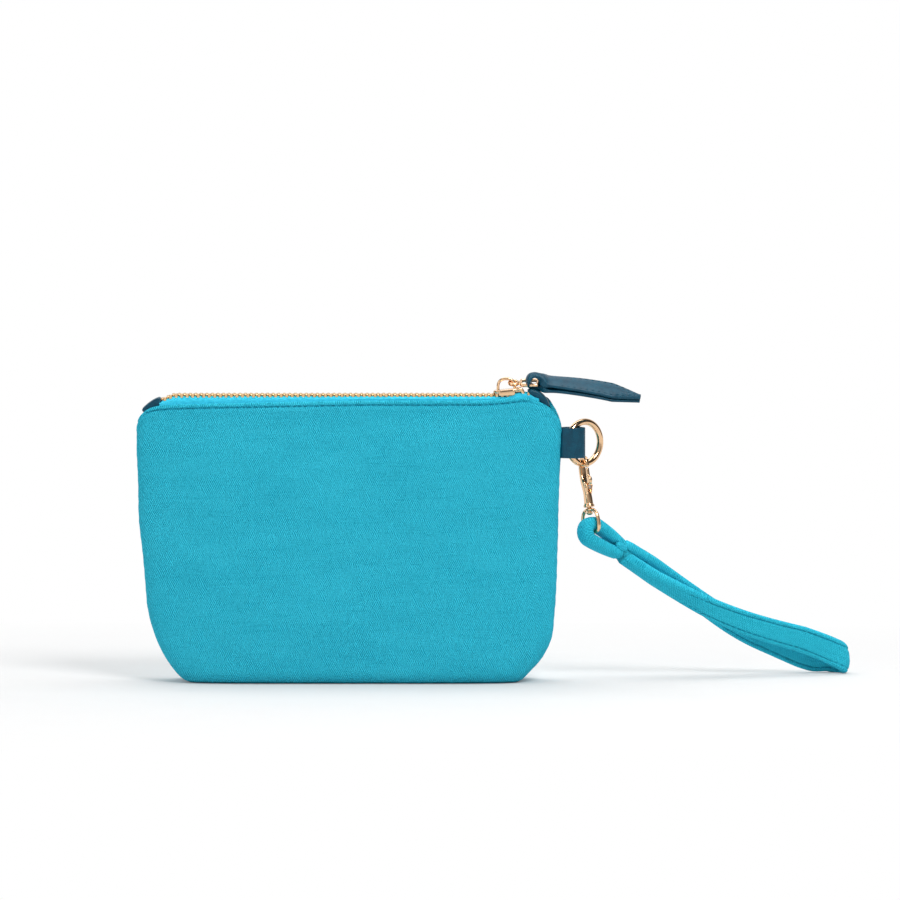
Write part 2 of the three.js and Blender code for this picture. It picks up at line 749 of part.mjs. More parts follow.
// A band's rounded section at a point, from its width direction and the way that it runs.
function bandSection(point, run, widthways, width, thickness) {
  const across = new THREE.Vector3().crossVectors(run, widthways).normalize();
  const along = new THREE.Vector3().crossVectors(across, run).normalize();
  const corner = thickness * bandCorner;
  const halfWidth = width / 2;
  const half = thickness / 2;
  const pairs = [
    [halfWidth, -half + corner], [halfWidth, half - corner],
    [halfWidth - corner, half], [-halfWidth + corner, half],
    [-halfWidth, half - corner], [-halfWidth, -half + corner],
    [-halfWidth + corner, -half], [halfWidth - corner, -half],
  ];
  return pairs.map(([a, b]) => point.clone().addScaledVector(along, a).addScaledVector(across, b));
}

// A closed band over stations, each with a point, a width direction, a width and a thickness.
function bandRing(stations) {
  const count = stations.length;
  const sections = stations.map((station, index) => {
    const before = stations[(index + count - 1) % count].point;
    const after = stations[(index + 1) % count].point;
    const run = new THREE.Vector3().subVectors(after, before).normalize();
    return bandSection(station.point, run, station.widthways, station.width, station.thickness);
  });
  return skin(sections, true);
}

// Where the ring, the hook and the eye sit.
const ringTurn = new THREE.Vector3(Math.cos(ringYaw * radians), Math.sin(ringYaw * radians), 0);
const hookSide = new THREE.Vector3(ringTurn.y, -ringTurn.x, 0);
const ringCentre = new THREE.Vector3(ringSeatX, ringSeatY, tabMiddle).addScaledVector(ringTurn, ringRadius);
const hookSeat = ringCentre.clone().setZ(tabMiddle - ringRadius);
const hookDown = new THREE.Vector3(0, 0, -Math.cos(hookSwing * radians))
  .addScaledVector(hookSide, Math.sin(hookSwing * radians));
const barSide = new THREE.Vector3(0, 0, Math.sin(hookSwing * radians))
  .addScaledVector(hookSide, Math.cos(hookSwing * radians));
const strapSeat = hookSeat.clone().addScaledVector(hookDown, eyeBar);
const strapRun = ringTurn.clone().multiplyScalar(Math.cos(strapSlope * radians))
  .addScaledVector(hookDown, Math.sin(strapSlope * radians));
const strapUp = ringTurn.clone().multiplyScalar(Math.sin(strapSlope * radians))
  .addScaledVector(hookDown, -Math.cos(strapSlope * radians));

// The loop sewn round the eye's lower bar.
function smallLoop() {
  const bend = Math.hypot(eyeWire / 2, eyeHalfThickness) + clearance + smallLoopThickness / 2;
  const straight = smallLoopLength - loopEnds;
  const stations = [];
  const arm = (side, share) => {
    const offset = mix(bend, pinchThickness / 2 + sunk, Math.pow(share, 2));
    const along = strapSeat.clone().addScaledVector(strapRun, straight * share);
    return {
      point: along.addScaledVector(strapUp, side * offset),
      widthways: barSide,
      width: mix(smallLoopWidth, pinchWidth, share),
      thickness: mix(smallLoopThickness, pinchThickness, share),
    };
  };
  for (let step = 6; step > 0; step -= 1) stations.push(arm(1, step / 6));
  for (let step = 0; step <= 8; step += 1) {
    const turn = Math.PI / 2 + (Math.PI * step) / 8;
    stations.push({
      point: strapSeat.clone().addScaledVector(strapRun, bend * Math.cos(turn))
        .addScaledVector(strapUp, bend * Math.sin(turn)),
      widthways: barSide,
      width: smallLoopWidth,
      thickness: smallLoopThickness,
    });
  }
  for (let step = 1; step <= 6; step += 1) stations.push(arm(-1, step / 6));
  stations.push({
    point: strapSeat.clone().addScaledVector(strapRun, smallLoopLength),
    widthways: barSide,
    width: pinchWidth,
    thickness: pinchThickness,
  });
  return bandRing(stations);
}

// The hand loop: two layers that part behind the pinch, turn over each other and meet in a fold.
function handLoop() {
  const start = strapSeat.clone().addScaledVector(strapRun, smallLoopLength - loopEnds / 2);
  const handLoopDrop = start.z - handLoopRest;
  const middleAt = (share) => {
    const swing = share * (1 - share);
    const sag = handLoopSag * Math.pow(Math.sin(Math.PI * share), sagPower);
    return new THREE.Vector3(
      start.x + handLoopRun * share,
      start.y + handLoopBack * share + handLoopBow * swing,
      start.z - handLoopDrop * share - sag,
    );
  };
  const faceAt = (share) => mix(-90, 0, Math.pow(within(share / frontTurnEnd, 0, 1), 0.7)) * radians;
  const offsetAt = (share) => {
    const turn = mix(firstOffsetTurn, lastOffsetTurn, Math.pow(share, offsetTurnEase));
    const fall = within((share - offsetFallStart) / (1 - offsetFallStart), 0, 1);
    return (turn - offsetTurnFall * fall) * radians;
  };
  const spreadAt = (share) => {
    const room = (bandThickness + layerGap) / 2;
    return mix((pinchThickness + pinchSwell) / 2 + sunk, room, within(share / layerGapGrows, 0, 1));
  };
  const layer = (side, share) => {
    const turn = offsetAt(share);
    const point = middleAt(share);
    point.y -= side * spreadAt(share) * Math.cos(turn);
    point.z += side * spreadAt(share) * Math.sin(turn);
    const face = faceAt(share);
    const widthways = new THREE.Vector3(0.5 * (1 - share), Math.sin(face), Math.cos(face));
    return {
      point,
      widthways,
      width: mix(pinchWidth, bandWidth, Math.pow(share, 0.6)),
      thickness: mix(pinchThickness + pinchSwell, bandThickness, within(2 * share, 0, 1)),
    };
  };
  const steps = 15;
  const stations = [];
  for (let step = 1; step <= steps; step += 1) stations.push(layer(1, step / steps));
  const end = middleAt(1);
  const run = end.clone().sub(middleAt(0.97)).normalize();
  const out = layer(1, 1).point.clone().sub(end);
  for (let step = 1; step < 6; step += 1) {
    const turn = (Math.PI * step) / 6;
    const inward = end.clone().addScaledVector(out, Math.cos(turn));
    stations.push({
      point: inward.addScaledVector(run, out.length() * Math.sin(turn)),
      widthways: layer(1, 1).widthways,
      width: bandWidth,
      thickness: bandThickness,
    });
  }
  for (let step = steps; step > 0; step -= 1) stations.push(layer(-1, step / steps));
  stations.push({
    point: middleAt(0),
    widthways: layer(1, 0).widthways,
    width: pinchWidth,
    thickness: pinchThickness,
  });
  return bandRing(stations);
}

function wristStrap() {
  const whole = smallLoop().add(handLoop());
  return whole.intersect(blockOf(0, 4 * reach, -reach, reach, 0, aboveAll));
}

// Materials
const cloth = new THREE.MeshStandardMaterial({ color: 0x2fadc6, roughness: 0.85, metalness: 0 });
const liningCloth = new THREE.MeshStandardMaterial({ color: 0x1f6f86, roughness: 0.8, metalness: 0 });
const tapeCloth = new THREE.MeshStandardMaterial({ color: 0x35b6d6, roughness: 0.6, metalness: 0 });
const leather = new THREE.MeshStandardMaterial({ color: 0x1f4f62, roughness: 0.5, metalness: 0 });
const goldMetal = new THREE.MeshStandardMaterial({ color: 0xd9a679, roughness: 0.25, metalness: 1 });
const steel = new THREE.MeshStandardMaterial({ color: 0xb9bcc0, roughness: 0.35, metalness: 1 });

const pouch = new THREE.Group();

function addPiece(name, solid, material, place = null) {
  const mesh = new THREE.Mesh(toGeometry(solid), material);
  mesh.name = name;
  (place || pouch).add(mesh);
  return mesh;
}

const walls = wallShell();
addPiece('front_panel', frontHalf(walls, clothWall), cloth);
addPiece('back_panel', backHalf(walls, clothWall), cloth);

const lining = liningShell();
const liningFloor = clothWall + clearance + liningWall;
addPiece('lining_front', frontHalf(lining, liningFloor), liningCloth);
addPiece('lining_back', backHalf(lining, liningFloor), liningCloth);

const tape = zipTape();
addPiece('zip_tape_front', tape, tapeCloth);
addPiece('zip_tape_back', tape.mirror([0, 1, 0]), tapeCloth);
addPiece('zip_teeth_front', toothRow(clearance / 2), goldMetal);
addPiece('zip_teeth_back', toothRow(toothPitch / 2 + clearance / 2).mirror([0, 1, 0]), goldMetal);
addPiece('zip_end_tab_left', endTab(-1, zipLeft), leather);
addPiece('zip_end_tab_right', endTab(1, zipRight), leather);

addPiece('slider_body', sliderBody(), goldMetal);
addPiece('slider_crown', sliderCrown(), goldMetal);

const link = new THREE.Group();
const lean = linkLean * radians;
link.position.set(crownX + crownRadius * Math.cos(lean), 0, crownZ + crownRadius * Math.sin(lean));
link.rotation.set(linkRoll * radians, linkDip * radians, 0, 'YXZ');
pouch.add(link);
addPiece('pull_link', pullLink(), goldMetal, link);

const pull = new THREE.Group();
pull.position.set(linkLength - linkBar - clearance, 0, 0);
pull.rotation.set(0, pullDip * radians, 0);
link.add(pull);
addPiece('leather_pull', leatherPull(), leather, pull);

addPiece('side_tab', sideTab(), leather);

const ringPlace = new THREE.Group();
ringPlace.position.copy(ringCentre);
ringPlace.rotation.set(0, 0, ringYaw * radians);
pouch.add(ringPlace);
addPiece('o_ring', ring(), goldMetal, ringPlace);

const hook = new THREE.Group();
hook.position.copy(hookSeat);
hook.rotation.set(0, -hookSwing * radians, (ringYaw - 90) * radians, 'ZYX');
pouch.add(hook);
addPiece('snap_hook', snapHook(), goldMetal, hook);
addPiece('hook_gate', gate(), goldMetal, hook);
addPiece('gate_pin', gatePin(), goldMetal, hook);
addPiece('gate_spring', gateSpring(), steel, hook);
addPiece('swivel_eye', swivelEye(), goldMetal, hook);

addPiece('wrist_strap', wristStrap(), cloth);

export default pouch;
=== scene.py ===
import math

import bmesh
import bpy
import numpy as np
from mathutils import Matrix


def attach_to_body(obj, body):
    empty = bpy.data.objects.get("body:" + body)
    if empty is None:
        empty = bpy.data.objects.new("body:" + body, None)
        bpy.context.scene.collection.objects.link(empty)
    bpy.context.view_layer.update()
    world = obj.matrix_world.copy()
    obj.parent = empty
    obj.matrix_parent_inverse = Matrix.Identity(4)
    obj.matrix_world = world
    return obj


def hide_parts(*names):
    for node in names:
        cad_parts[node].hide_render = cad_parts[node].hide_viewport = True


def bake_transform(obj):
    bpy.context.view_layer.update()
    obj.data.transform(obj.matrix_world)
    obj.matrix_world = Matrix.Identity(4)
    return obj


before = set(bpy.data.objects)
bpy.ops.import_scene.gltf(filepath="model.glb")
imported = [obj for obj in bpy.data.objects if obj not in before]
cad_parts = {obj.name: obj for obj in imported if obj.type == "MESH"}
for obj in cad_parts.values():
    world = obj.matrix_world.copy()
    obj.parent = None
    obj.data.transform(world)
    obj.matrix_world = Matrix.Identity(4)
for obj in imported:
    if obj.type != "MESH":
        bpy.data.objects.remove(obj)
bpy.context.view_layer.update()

mm = 0.001


def clamp(value, low=0.0, high=1.0):
    return np.clip(value, low, high)


def mix(a, b, share):
    return a + (b - a) * share


def smooth(value):
    held = clamp(value)
    return held * held * (3 - 2 * held)


# 1 where value is 0, falling to nothing on both sides.
def bell(value, width):
    return np.exp(-(value / width) ** 2)


def wave(run, length, start=0.0):
    return np.sin(run * 2 * math.pi / length + start)


def unit(vectors):
    return vectors / np.linalg.norm(vectors, axis=-1, keepdims=True)


# Gentle waves in the cloth, the same at every run.
def ripples(across, up, size, seed):
    chance = np.random.default_rng(seed)
    count = 7
    total = 0
    for _ in range(count):
        turn = chance.uniform(0, 2 * math.pi)
        length = size * chance.uniform(0.7, 1.6)
        run = across * math.cos(turn) + up * math.sin(turn)
        total = total + np.sin(2 * math.pi * run / length + chance.uniform(0, 2 * math.pi))
    return total / math.sqrt(count)


# How far each point of a path lies along it.
def runOf(path):
    return np.concatenate([[0], np.cumsum(np.linalg.norm(np.diff(path, axis=0), axis=1))])


# A path's points, or other values along it, at new places of its run.
def placesAlong(at, run, values):
    return np.stack([np.interp(at, run, column) for column in values.T], axis=1)


def evenly(path, count):
    run = runOf(path)
    return placesAlong(np.linspace(0, run[-1], count), run, path)


# An even path through a few points, rounded by a spline.
def curveThrough(points, count):
    points = np.asarray(points, float)
    held = np.concatenate([2 * points[:1] - points[1:2], points, 2 * points[-1:] - points[-2:-1]])
    fine = []
    for index in range(len(points) - 1):
        a, b, c, d = held[index:index + 4]
        for share in np.linspace(0, 1, 24, endpoint=False):
            fine.append(0.5 * (2 * b + (c - a) * share + (2 * a - 5 * b + 4 * c - d) * share ** 2
                               + (3 * b - a - 3 * c + d) * share ** 3))
    return evenly(np.array([*fine, points[-1]]), count)


# A path drawn in x and z, stood up at y = 0.
def upright(path):
    return np.column_stack([path[:, 0], np.zeros(len(path)), path[:, 1]])


def arcPoints(centre, radius, start, end, count):
    turns = np.radians(np.linspace(start, end, count))
    return [(centre[0] + radius * math.cos(turn), centre[1] + radius * math.sin(turn)) for turn in turns]


# Faces of a grid of points that are numbered row by row.
def gridFaces(rows, columns, wrapRows=False, wrapColumns=False):
    faces = []
    for row in range(rows if wrapRows else rows - 1):
        above = (row + 1) % rows
        for column in range(columns if wrapColumns else columns - 1):
            beside = (column + 1) % columns
            corners = [(row, column), (row, beside), (above, beside), (above, column)]
            faces.append([r * columns + c for r, c in corners])
    return faces


# Faces of a tube of rings: closed on itself, or with a face over each end.
def tubeFaces(rings, closed=False):
    rows, count = np.shape(rings)[:2]
    faces = gridFaces(rows, count, wrapRows=closed, wrapColumns=True)
    if not closed:
        for row in (0, rows - 1):
            faces.append([row * count + corner for corner in range(count)])
    return faces


# Points of a rounded oblong section, from its halves and its corner's radius.
def oblong(halfWide, halfThick, corner, arc=4, flat=4):
    points = []
    centres = [(1, 1, 0), (-1, 1, 90), (-1, -1, 180), (1, -1, 270)]
    for place, (signX, signY, start) in enumerate(centres):
        for step in range(arc + 1):
            turn = math.radians(start + 90 * step / arc)
            points.append((signX * (halfWide - corner) + corner * math.cos(turn),
                           signY * (halfThick - corner) + corner * math.sin(turn)))
        if place in (0, 2):
            for step in range(1, flat):
                points.append((signX * (halfWide - corner) * (1 - 2 * step / flat), signY * halfThick))
    return np.array(points)


def wireSection(radius, arc):
    return oblong(radius, radius, radius, arc, 1)


def stepsFromEnd(count):
    return np.minimum(np.arange(count), np.arange(count)[::-1])


# A section for each place of a path, drawn in at both ends so that they look rounded.
def easedSections(section, count, shares=(0.7,)):
    ease = np.array([*shares, 1.0])[np.minimum(stepsFromEnd(count), len(shares))]
    return section[None] * ease[:, None, None]


# The two directions across a path: the first follows widthways, the second stands across both.
def crossways(path, widthways, closed=False):
    if closed:
        run = np.roll(path, -1, axis=0) - np.roll(path, 1, axis=0)
    else:
        run = np.gradient(path, axis=0)
    run = unit(run)
    across = unit(np.cross(run, widthways))
    return unit(np.cross(across, run)), across


# A section swept along a path, as points, faces and their places on the unrolled sheet.
def sweptPart(path, widthways, section, closed=False):
    path = np.asarray(path, float)
    along, across = crossways(path, np.broadcast_to(np.asarray(widthways, float), path.shape), closed)
    section = np.broadcast_to(section, (len(path), *np.shape(section)[-2:]))
    rings = path[:, None] + along[:, None] * section[..., :1] + across[:, None] * section[..., 1:]
    run = np.broadcast_to(runOf(path)[:, None, None], (*section.shape[:2], 1))
    return rings, tubeFaces(rings, closed), np.concatenate([run, section], axis=-1)


# A flat outline in x and z given thickness along y, with a rounded rim.
def platePart(outline, halfThick, rim=0.3, rimSteps=3):
    outline = np.asarray(outline, float)
    ahead = unit(np.roll(outline, -1, axis=0) - outline)
    behind = unit(outline - np.roll(outline, 1, axis=0))
    area = np.sum(outline[:, 0] * np.roll(outline[:, 1], -1) - np.roll(outline[:, 0], -1) * outline[:, 1])
    normals = np.stack([ahead[:, 1] + behind[:, 1], -ahead[:, 0] - behind[:, 0]], axis=1)
    normals = unit(normals) * (1 if area > 0 else -1)
    rings = []
    for sign, ends in ((-1, (0, 1)), (1, (1, 0))):
        for share in np.linspace(*ends, rimSteps + 1):
            flat = outline - normals * rim * (1 - math.sin(share * math.pi / 2))
            height = sign * (halfThick - rim * (1 - math.cos(share * math.pi / 2)))
            rings.append(upright(flat) + [0, height, 0])
    return np.array(rings), tubeFaces(rings), None


# A profile of radii and heights turned about its middle line.
def turnedPart(profile, sides=24):
    turns = np.linspace(0, 2 * math.pi, sides + 1)[:-1]
    circle = np.column_stack([np.cos(turns), np.sin(turns), np.zeros(sides)])
    rings = np.array([circle * radius + [0, 0, height] for radius, height in profile])
    return rings, tubeFaces(rings), None


# A disc with rounded rims.
def discPart(radius, low, high, rim=0.3):
    return turnedPart([(radius - rim, low), (radius - 0.3 * rim, low + 0.3 * rim), (radius, low + rim),
                       (radius, high - rim), (radius - 0.3 * rim, high - 0.3 * rim), (radius - rim, high)])


# Where a piece sits: its origin and its three axes.
class Place:
    def __init__(self, origin, x, y, z):
        self.origin = np.array(origin, float)
        self.axes = np.array([x, y, z], float)

    def at(self, points):
        return self.origin + np.asarray(points, float) @ self.axes

    def way(self, directions):
        return np.asarray(directions, float) @ self.axes


# A mesh whose "cut" says where each point lies on the flat cloth or leather.
def meshOf(name, points, faces, material, cut=None, sharpAt=40):
    mesh = bpy.data.meshes.new(name)
    mesh.from_pydata((np.asarray(points, float).reshape(-1, 3) * mm).tolist(), [], faces)
    mesh.materials.append(material)
    if cut is not None:
        layer = mesh.attributes.new("cut", "FLOAT_VECTOR", "POINT")
        layer.data.foreach_set("vector", np.asarray(cut, np.float32).ravel())
    work = bmesh.new()
    work.from_mesh(mesh)
    bmesh.ops.recalc_face_normals(work, faces=work.faces)
    work.to_mesh(mesh)
    work.free()
    mesh.shade_smooth()
    mesh.set_sharp_from_angle(angle=math.radians(sharpAt))
    made = bpy.data.objects.new(name, mesh)
    bpy.context.scene.collection.objects.link(made)
    return made


# Ties a piece to the CAD: the body that it rides and the node that it replaces, which is hidden. A piece
# with a seam is not tied to a body: its place is baked into its points.
def attach(piece, body, node=None, seam=None):
    if seam:
        sign = -1 if seam == "left" else 1
        sign * pouch["topHalfWidth"] * mm
        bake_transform(piece)
    else:
        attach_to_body(piece, body)
    if node:
        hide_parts(node)


# A piece made of several parts, each one points, faces and their cut, and put in its place.
def makePiece(name, parts, material, body, node=None, seam=None, place=None, sharpAt=40):
    points = []
    faces = []
    cuts = []
    first = 0
    for partPoints, partFaces, partCut in parts:
        flat = (place.at(partPoints) if place else np.asarray(partPoints, float)).reshape(-1, 3)
        points.append(flat)
        faces += [[corner + first for corner in face] for face in partFaces]
        cuts.append(flat if partCut is None else np.asarray(partCut, float).reshape(-1, 3))
        first += len(flat)
    piece = meshOf(name, np.concatenate(points), faces, material, np.concatenate(cuts), sharpAt)
    attach(piece, body, node, seam)
    return piece


# Socket arithmetic: each operator adds a Math node.
class Value:
    def __init__(self, paint, socket):
        self.paint = paint
        self.socket = socket

    def calc(self, operation, *others):
        inputs = dict(enumerate((self, *others)))
        return self.paint.add("ShaderNodeMath", {"operation": operation}, inputs)

    def __add__(self, other):
        return self.calc("ADD", other)

    def __sub__(self, other):
        return self.calc("SUBTRACT", other)

    def __mul__(self, other):
        return self.calc("MULTIPLY", other)

    def __truediv__(self, other):
        return self.calc("DIVIDE", other)

    def __rsub__(self, other):
        return (self * -1) + other

    __radd__ = __add__
    __rmul__ = __mul__

    def sine(self):
        return self.calc("SINE")

    def between(self, low, high):
        return self.calc("MAXIMUM", low).calc("MINIMUM", high)


# The nodes of a material or of the world.
class Nodes:
    def __init__(self, tree):
        self.tree = tree

    def put(self, sockets, values):
        for key, value in values.items():
            if isinstance(value, Value):
                self.tree.links.new(value.socket, sockets[key])
            else:
                sockets[key].default_value = value

    def add(self, kind, settings=None, inputs=None, out=0):
        node = self.tree.nodes.new(kind)
        for key, value in (settings or {}).items():
            setattr(node, key, value)
        self.put(node.inputs, inputs or {})
        return Value(self, node.outputs[out])

    def end(self, shader, name):
        self.tree.links.new(shader.socket, self.tree.nodes[name].inputs[0])

    # 1 for rays of one kind: Camera, Glossy or Transmission.
    def ray(self, kind):
        return self.add("ShaderNodeLightPath", None, None, f"Is {kind} Ray")

    def axis(self, place, which):
        return self.add("ShaderNodeSeparateXYZ", None, {0: place}, which)

    def ramp(self, value, low, high):
        return ((value - low) / (high - low)).between(0, 1)


# A material under construction.
class Paint(Nodes):
    def __init__(self, name):
        self.material = bpy.data.materials.new(name)
        self.material.use_nodes = True
        super().__init__(self.material.node_tree)
        self.shader = self.tree.nodes["Principled BSDF"]

    def cut(self):
        return self.add("ShaderNodeAttribute", {"attribute_name": "cut"}, None, 1)

    def blendOf(self, share, first, second):
        return self.add("ShaderNodeMix", {"data_type": "RGBA"}, {0: share, 6: first, 7: second}, 2)

    def noise(self, place, scale, detail=2.0):
        return self.add("ShaderNodeTexNoise", None, {"Vector": place, "Scale": scale, "Detail": detail})

    def stretched(self, place, scale):
        return self.add("ShaderNodeVectorMath", {"operation": "MULTIPLY"}, {0: place, 1: scale})

    def bump(self, height, distance, strength):
        inputs = {"Height": height, "Distance": distance * mm, "Strength": strength}
        return self.add("ShaderNodeBump", None, inputs)

    def surface(self, values):
        self.put(self.shader.inputs, values)
        return self.material


# An sRGB colour out of 255 as the linear colour that the shader takes.
def colour(red, green, blue):
    linear = []
    for part in (red, green, blue):
        share = part / 255
        linear.append(share / 12.92 if share <= 0.04045 else ((share + 0.055) / 1.055) ** 2.4)
    return (*linear, 1.0)


tones = {  # the dark and the light tone of each material
    "cloth": ((6, 144, 173), (64, 206, 231)),
    "strapCloth": ((14, 152, 181), (58, 205, 229)),
    "liningCloth": ((20, 92, 112), (34, 118, 140)),
    "tapeCloth": ((29, 177, 210), (65, 208, 238)),
    "leather": ((0, 45, 66), (0, 90, 114)),
    "roseGold": ((228, 184, 142), (240, 204, 164)),
    "toothGold": ((216, 180, 130), (233, 196, 149)),
    "springSteel": ((178, 180, 184), (200, 202, 206)),
    "clothThread": ((0, 112, 140), (12, 146, 174)),
    "tackThread": ((20, 156, 186), (56, 192, 218)),
    "leatherThread": ((16, 58, 76), (36, 88, 108)),
}
weave = {
    "across": 1.0,  # the repeat of the yarns
    "up": 1.84,
    "grooveShade": (0, 104, 132),  # painted shade in the groove of the stitches
}
stitches = {
    "drop": 1.5,  # below a wall's top edge
    "edge": 2.1,  # in from the strap's edges
    "pitch": 2.7,
    "length": 2.1,
    "radius": 0.17,
    "leftEnd": 101,  # from the front wall's middle to the ends of its row
    "rightEnd": 86,
}


def tonesOf(name):
    return [colour(*tone) for tone in tones[name]]


# Woven cloth: a checker of yarns, darker slubs along the rows and a soft mottle. The cut's third number is
# the distance from a stitched edge, and painted shade darkens the cloth in the groove of the stitches.
def clothPaint(name, contrast, groove=None):
    paint = Paint(name)
    cut = paint.cut()
    across = paint.axis(cut, 0)
    up = paint.axis(cut, 1)
    wander = paint.noise(cut, 0.14) * 9
    columns = (across * (2 * math.pi / weave["across"]) + wander).sine()
    rows = (up * (2 * math.pi / weave["up"]) + wander).sine()
    yarns = columns * rows
    slubs = paint.ramp(paint.noise(paint.stretched(cut, (0.05, 0.6, 1)), 1.0, 3.0), 0.55, 0.75)
    patches = paint.ramp(paint.noise(cut, 0.12), 0.3, 0.7)
    mottle = paint.noise(paint.stretched(cut, (0.4, 1, 1)), 0.07, 4.0)
    fibre = paint.noise(paint.stretched(cut, (1.6, 2.2, 1)), 1.0, 1.0)
    share = yarns * (patches * contrast + 0.2) + mottle * 0.3 + fibre * 1.4 - slubs * 0.2 - 0.32
    tone = paint.blendOf(share.between(0, 1), *tonesOf(name))
    # painted shade in the stitched groove, uneven and in broken dashes at the stitch pitch
    if groove:
        gap = paint.axis(cut, 2) - groove
        line = 1 - paint.ramp(gap.calc("ABSOLUTE"), 0.12, 0.55)
        uneven = paint.ramp(paint.noise(paint.stretched(cut, (0.3, 0, 0)), 1.0), 0.3, 0.6)
        dashes = (across * (2 * math.pi / stitches["pitch"])).sine() * 0.2
        depth = (line * (0.1 + uneven * 0.5 + dashes)).between(0, 1)
        tone = paint.blendOf(depth, tone, colour(*weave["grooveShade"]))
    height = yarns * 0.7 + fibre * 0.8 - slubs * 0.15
    return paint.surface({
        "Base Color": tone,
        "Roughness": 0.9,
        "Specular IOR Level": 0.12,
        "Normal": paint.bump(height, 0.16, 0.9),
    })


# A ribbed woven tape.
def tapePaint(name):
    paint = Paint(name)
    cut = paint.cut()
    ribs = (paint.axis(cut, 0) * (2 * math.pi / 0.7) + paint.axis(cut, 1) * 4).sine()
    share = ribs * 0.22 + paint.noise(cut, 0.4)
    return paint.surface({
        "Base Color": paint.blendOf(share.between(0, 1), *tonesOf(name)),
        "Roughness": 0.8,
        "Specular IOR Level": 0.2,
        "Normal": paint.bump(ribs, 0.08, 0.6),
    })


# Grained leather: cells with creases between them, paler where the grain stands up.
def leatherPaint(name, roughness):
    paint = Paint(name)
    cut = paint.cut()
    cells = paint.add("ShaderNodeTexVoronoi", {"feature": "DISTANCE_TO_EDGE"}, {"Vector": cut, "Scale": 1.5})
    grain = paint.ramp(cells, 0.0, 0.22)
    cloud = paint.noise(cut, 0.25, 4.0)
    pores = paint.noise(cut, 3.2)
    share = cloud * 0.9 + grain * 0.25 + pores * 0.2 - 0.28
    return paint.surface({
        "Base Color": paint.blendOf(share.between(0, 1), *tonesOf(name)),
        "Roughness": (cloud * 0.2 + (roughness - 0.1)).between(0, 1),
        "Specular IOR Level": 0.28,
        "Normal": paint.bump(grain * 0.6 + pores * 0.4, 0.07, 0.5),
    })


# Plated metal with a faint orange-peel and handling haze.
def metalPaint(name, roughness):
    paint = Paint(name)
    place = paint.add("ShaderNodeTexCoord", None, None, 3)
    cloud = paint.noise(place, 260.0)
    fine = paint.noise(place, 1400.0, 1.0)
    return paint.surface({
        "Base Color": paint.blendOf(cloud, *tonesOf(name)),
        "Metallic": 1.0,
        "Roughness": (cloud * 0.12 + (roughness - 0.05)).between(0, 1),
        "Normal": paint.bump(fine, 0.01, 0.25),
    })


def threadPaint(name):
    paint = Paint(name)
    place = paint.add("ShaderNodeTexCoord", None, None, 3)
    twist = paint.noise(place, 2600.0, 1.0)
    return paint.surface({
        "Base Color": paint.blendOf(twist, *tonesOf(name)),
        "Roughness": 0.8,
        "Specular IOR Level": 0.2,
        "Normal": paint.bump(twist, 0.05, 0.5),
    })


cloth = clothPaint("cloth", 0.7, stitches["drop"])
strapCloth = clothPaint("strapCloth", 0.3, stitches["edge"])
lining = clothPaint("liningCloth", 0.15)
tapeCloth = tapePaint("tapeCloth")
leather = leatherPaint("leather", 0.4)
gold = metalPaint("roseGold", 0.13)
brass = metalPaint("toothGold", 0.14)
steel = metalPaint("springSteel", 0.3)
clothThread = threadPaint("clothThread")
tackThread = threadPaint("tackThread")
leatherThread = threadPaint("leatherThread")
print("materials made")

pouch = {
    "height": 133.4,
    "baseHalfWidth": 79,
    "hipHalfWidth": 97.8,  # where the round lower corners end
    "topHalfWidth": 101.2,
    "cornerRise": 40,
    "cornerPower": 1.5,
    "shoulderRise": 14,  # the last stretch below the top, which draws in
    "shoulderInset": 2.4,
    "baseHalfDepth": 19,
    "topHalfDepth": 7.6,
    "baseRound": 6,
    "baseShift": 2.4,  # the foot lies a little to the right
    "sideBulge": 0.85,
    "middleSquareness": 3.2,  # of the outline seen from above, at half height
    "edgeSquareness": 5,  # and at the foot and the top
    "rightFill": (0.7, 1.6, 1.2),  # how much fuller the right side stands: all over, low down, at the hip
    "leftFill": (-0.8, 1.0, 1.1),  # and the left side: low down, high up, less at the shoulder
    "wall": 1.4,
    "liningWall": 0.6,
    "liningGap": 1.1,  # between the wall and the lining, where the zip tape passes
    "liningDrop": 3,
    "cornerLean": 3.5,  # the back wall's right corner leans in
}
relief = {  # how far the cloth stands proud or sinks
    "waves": 0.28,
    "smallWaves": 0.1,
    "seam": 0.3,
    "pucker": 0.16,
    "groove": 0.75,
    "hem": 0.3,
    "gather": 0.07,
}
wallColumns = 141
middleColumn = wallColumns // 2
lowRows = 58
hemRows = 24
hemStart = 0.945  # the share of the height where the closer rows of the hem begin
foldSteps = 6
awayFromStitches = 20  # a cut's third number where no stitches are near
steps = np.linspace(0, 1, wallColumns)
columnShares = mix(steps, (1 - np.cos(math.pi * steps)) / 2, 0.45)  # closer together at the side seams
levels = np.concatenate([np.linspace(0, 8, 41), np.linspace(8.6, 140, 190)])  # closer together at the foot
lowShares = np.linspace(0, 1, lowRows, endpoint=False)
lowShares = mix(lowShares, lowShares ** 2, 0.4) * hemStart
rowShares = np.concatenate([lowShares, np.linspace(hemStart, 1, hemRows)])


# Half the pouch's width and depth at a height.
def halfWidthAt(z):
    height = pouch["height"]
    power = pouch["cornerPower"]
    rise = pouch["cornerRise"]
    shoulder = pouch["shoulderRise"]
    corner = (1 - (1 - clamp(z / rise)) ** power) ** (1 / power)
    flare = clamp((z - rise) / (height - shoulder - rise)) * (pouch["topHalfWidth"] - pouch["hipHalfWidth"])
    over = clamp((z - height + shoulder) / shoulder)
    width = mix(pouch["baseHalfWidth"], pouch["hipHalfWidth"], corner)
    return width + flare - pouch["shoulderInset"] * over * over


def halfDepthAt(z):
    up = clamp(z / pouch["height"])
    slope = mix(pouch["topHalfDepth"], pouch["baseHalfDepth"], (1 - up) ** pouch["sideBulge"])
    radius = pouch["baseRound"]
    under = clamp(radius - z, 0, radius)
    return slope - radius + math.sqrt(radius ** 2 - under ** 2)


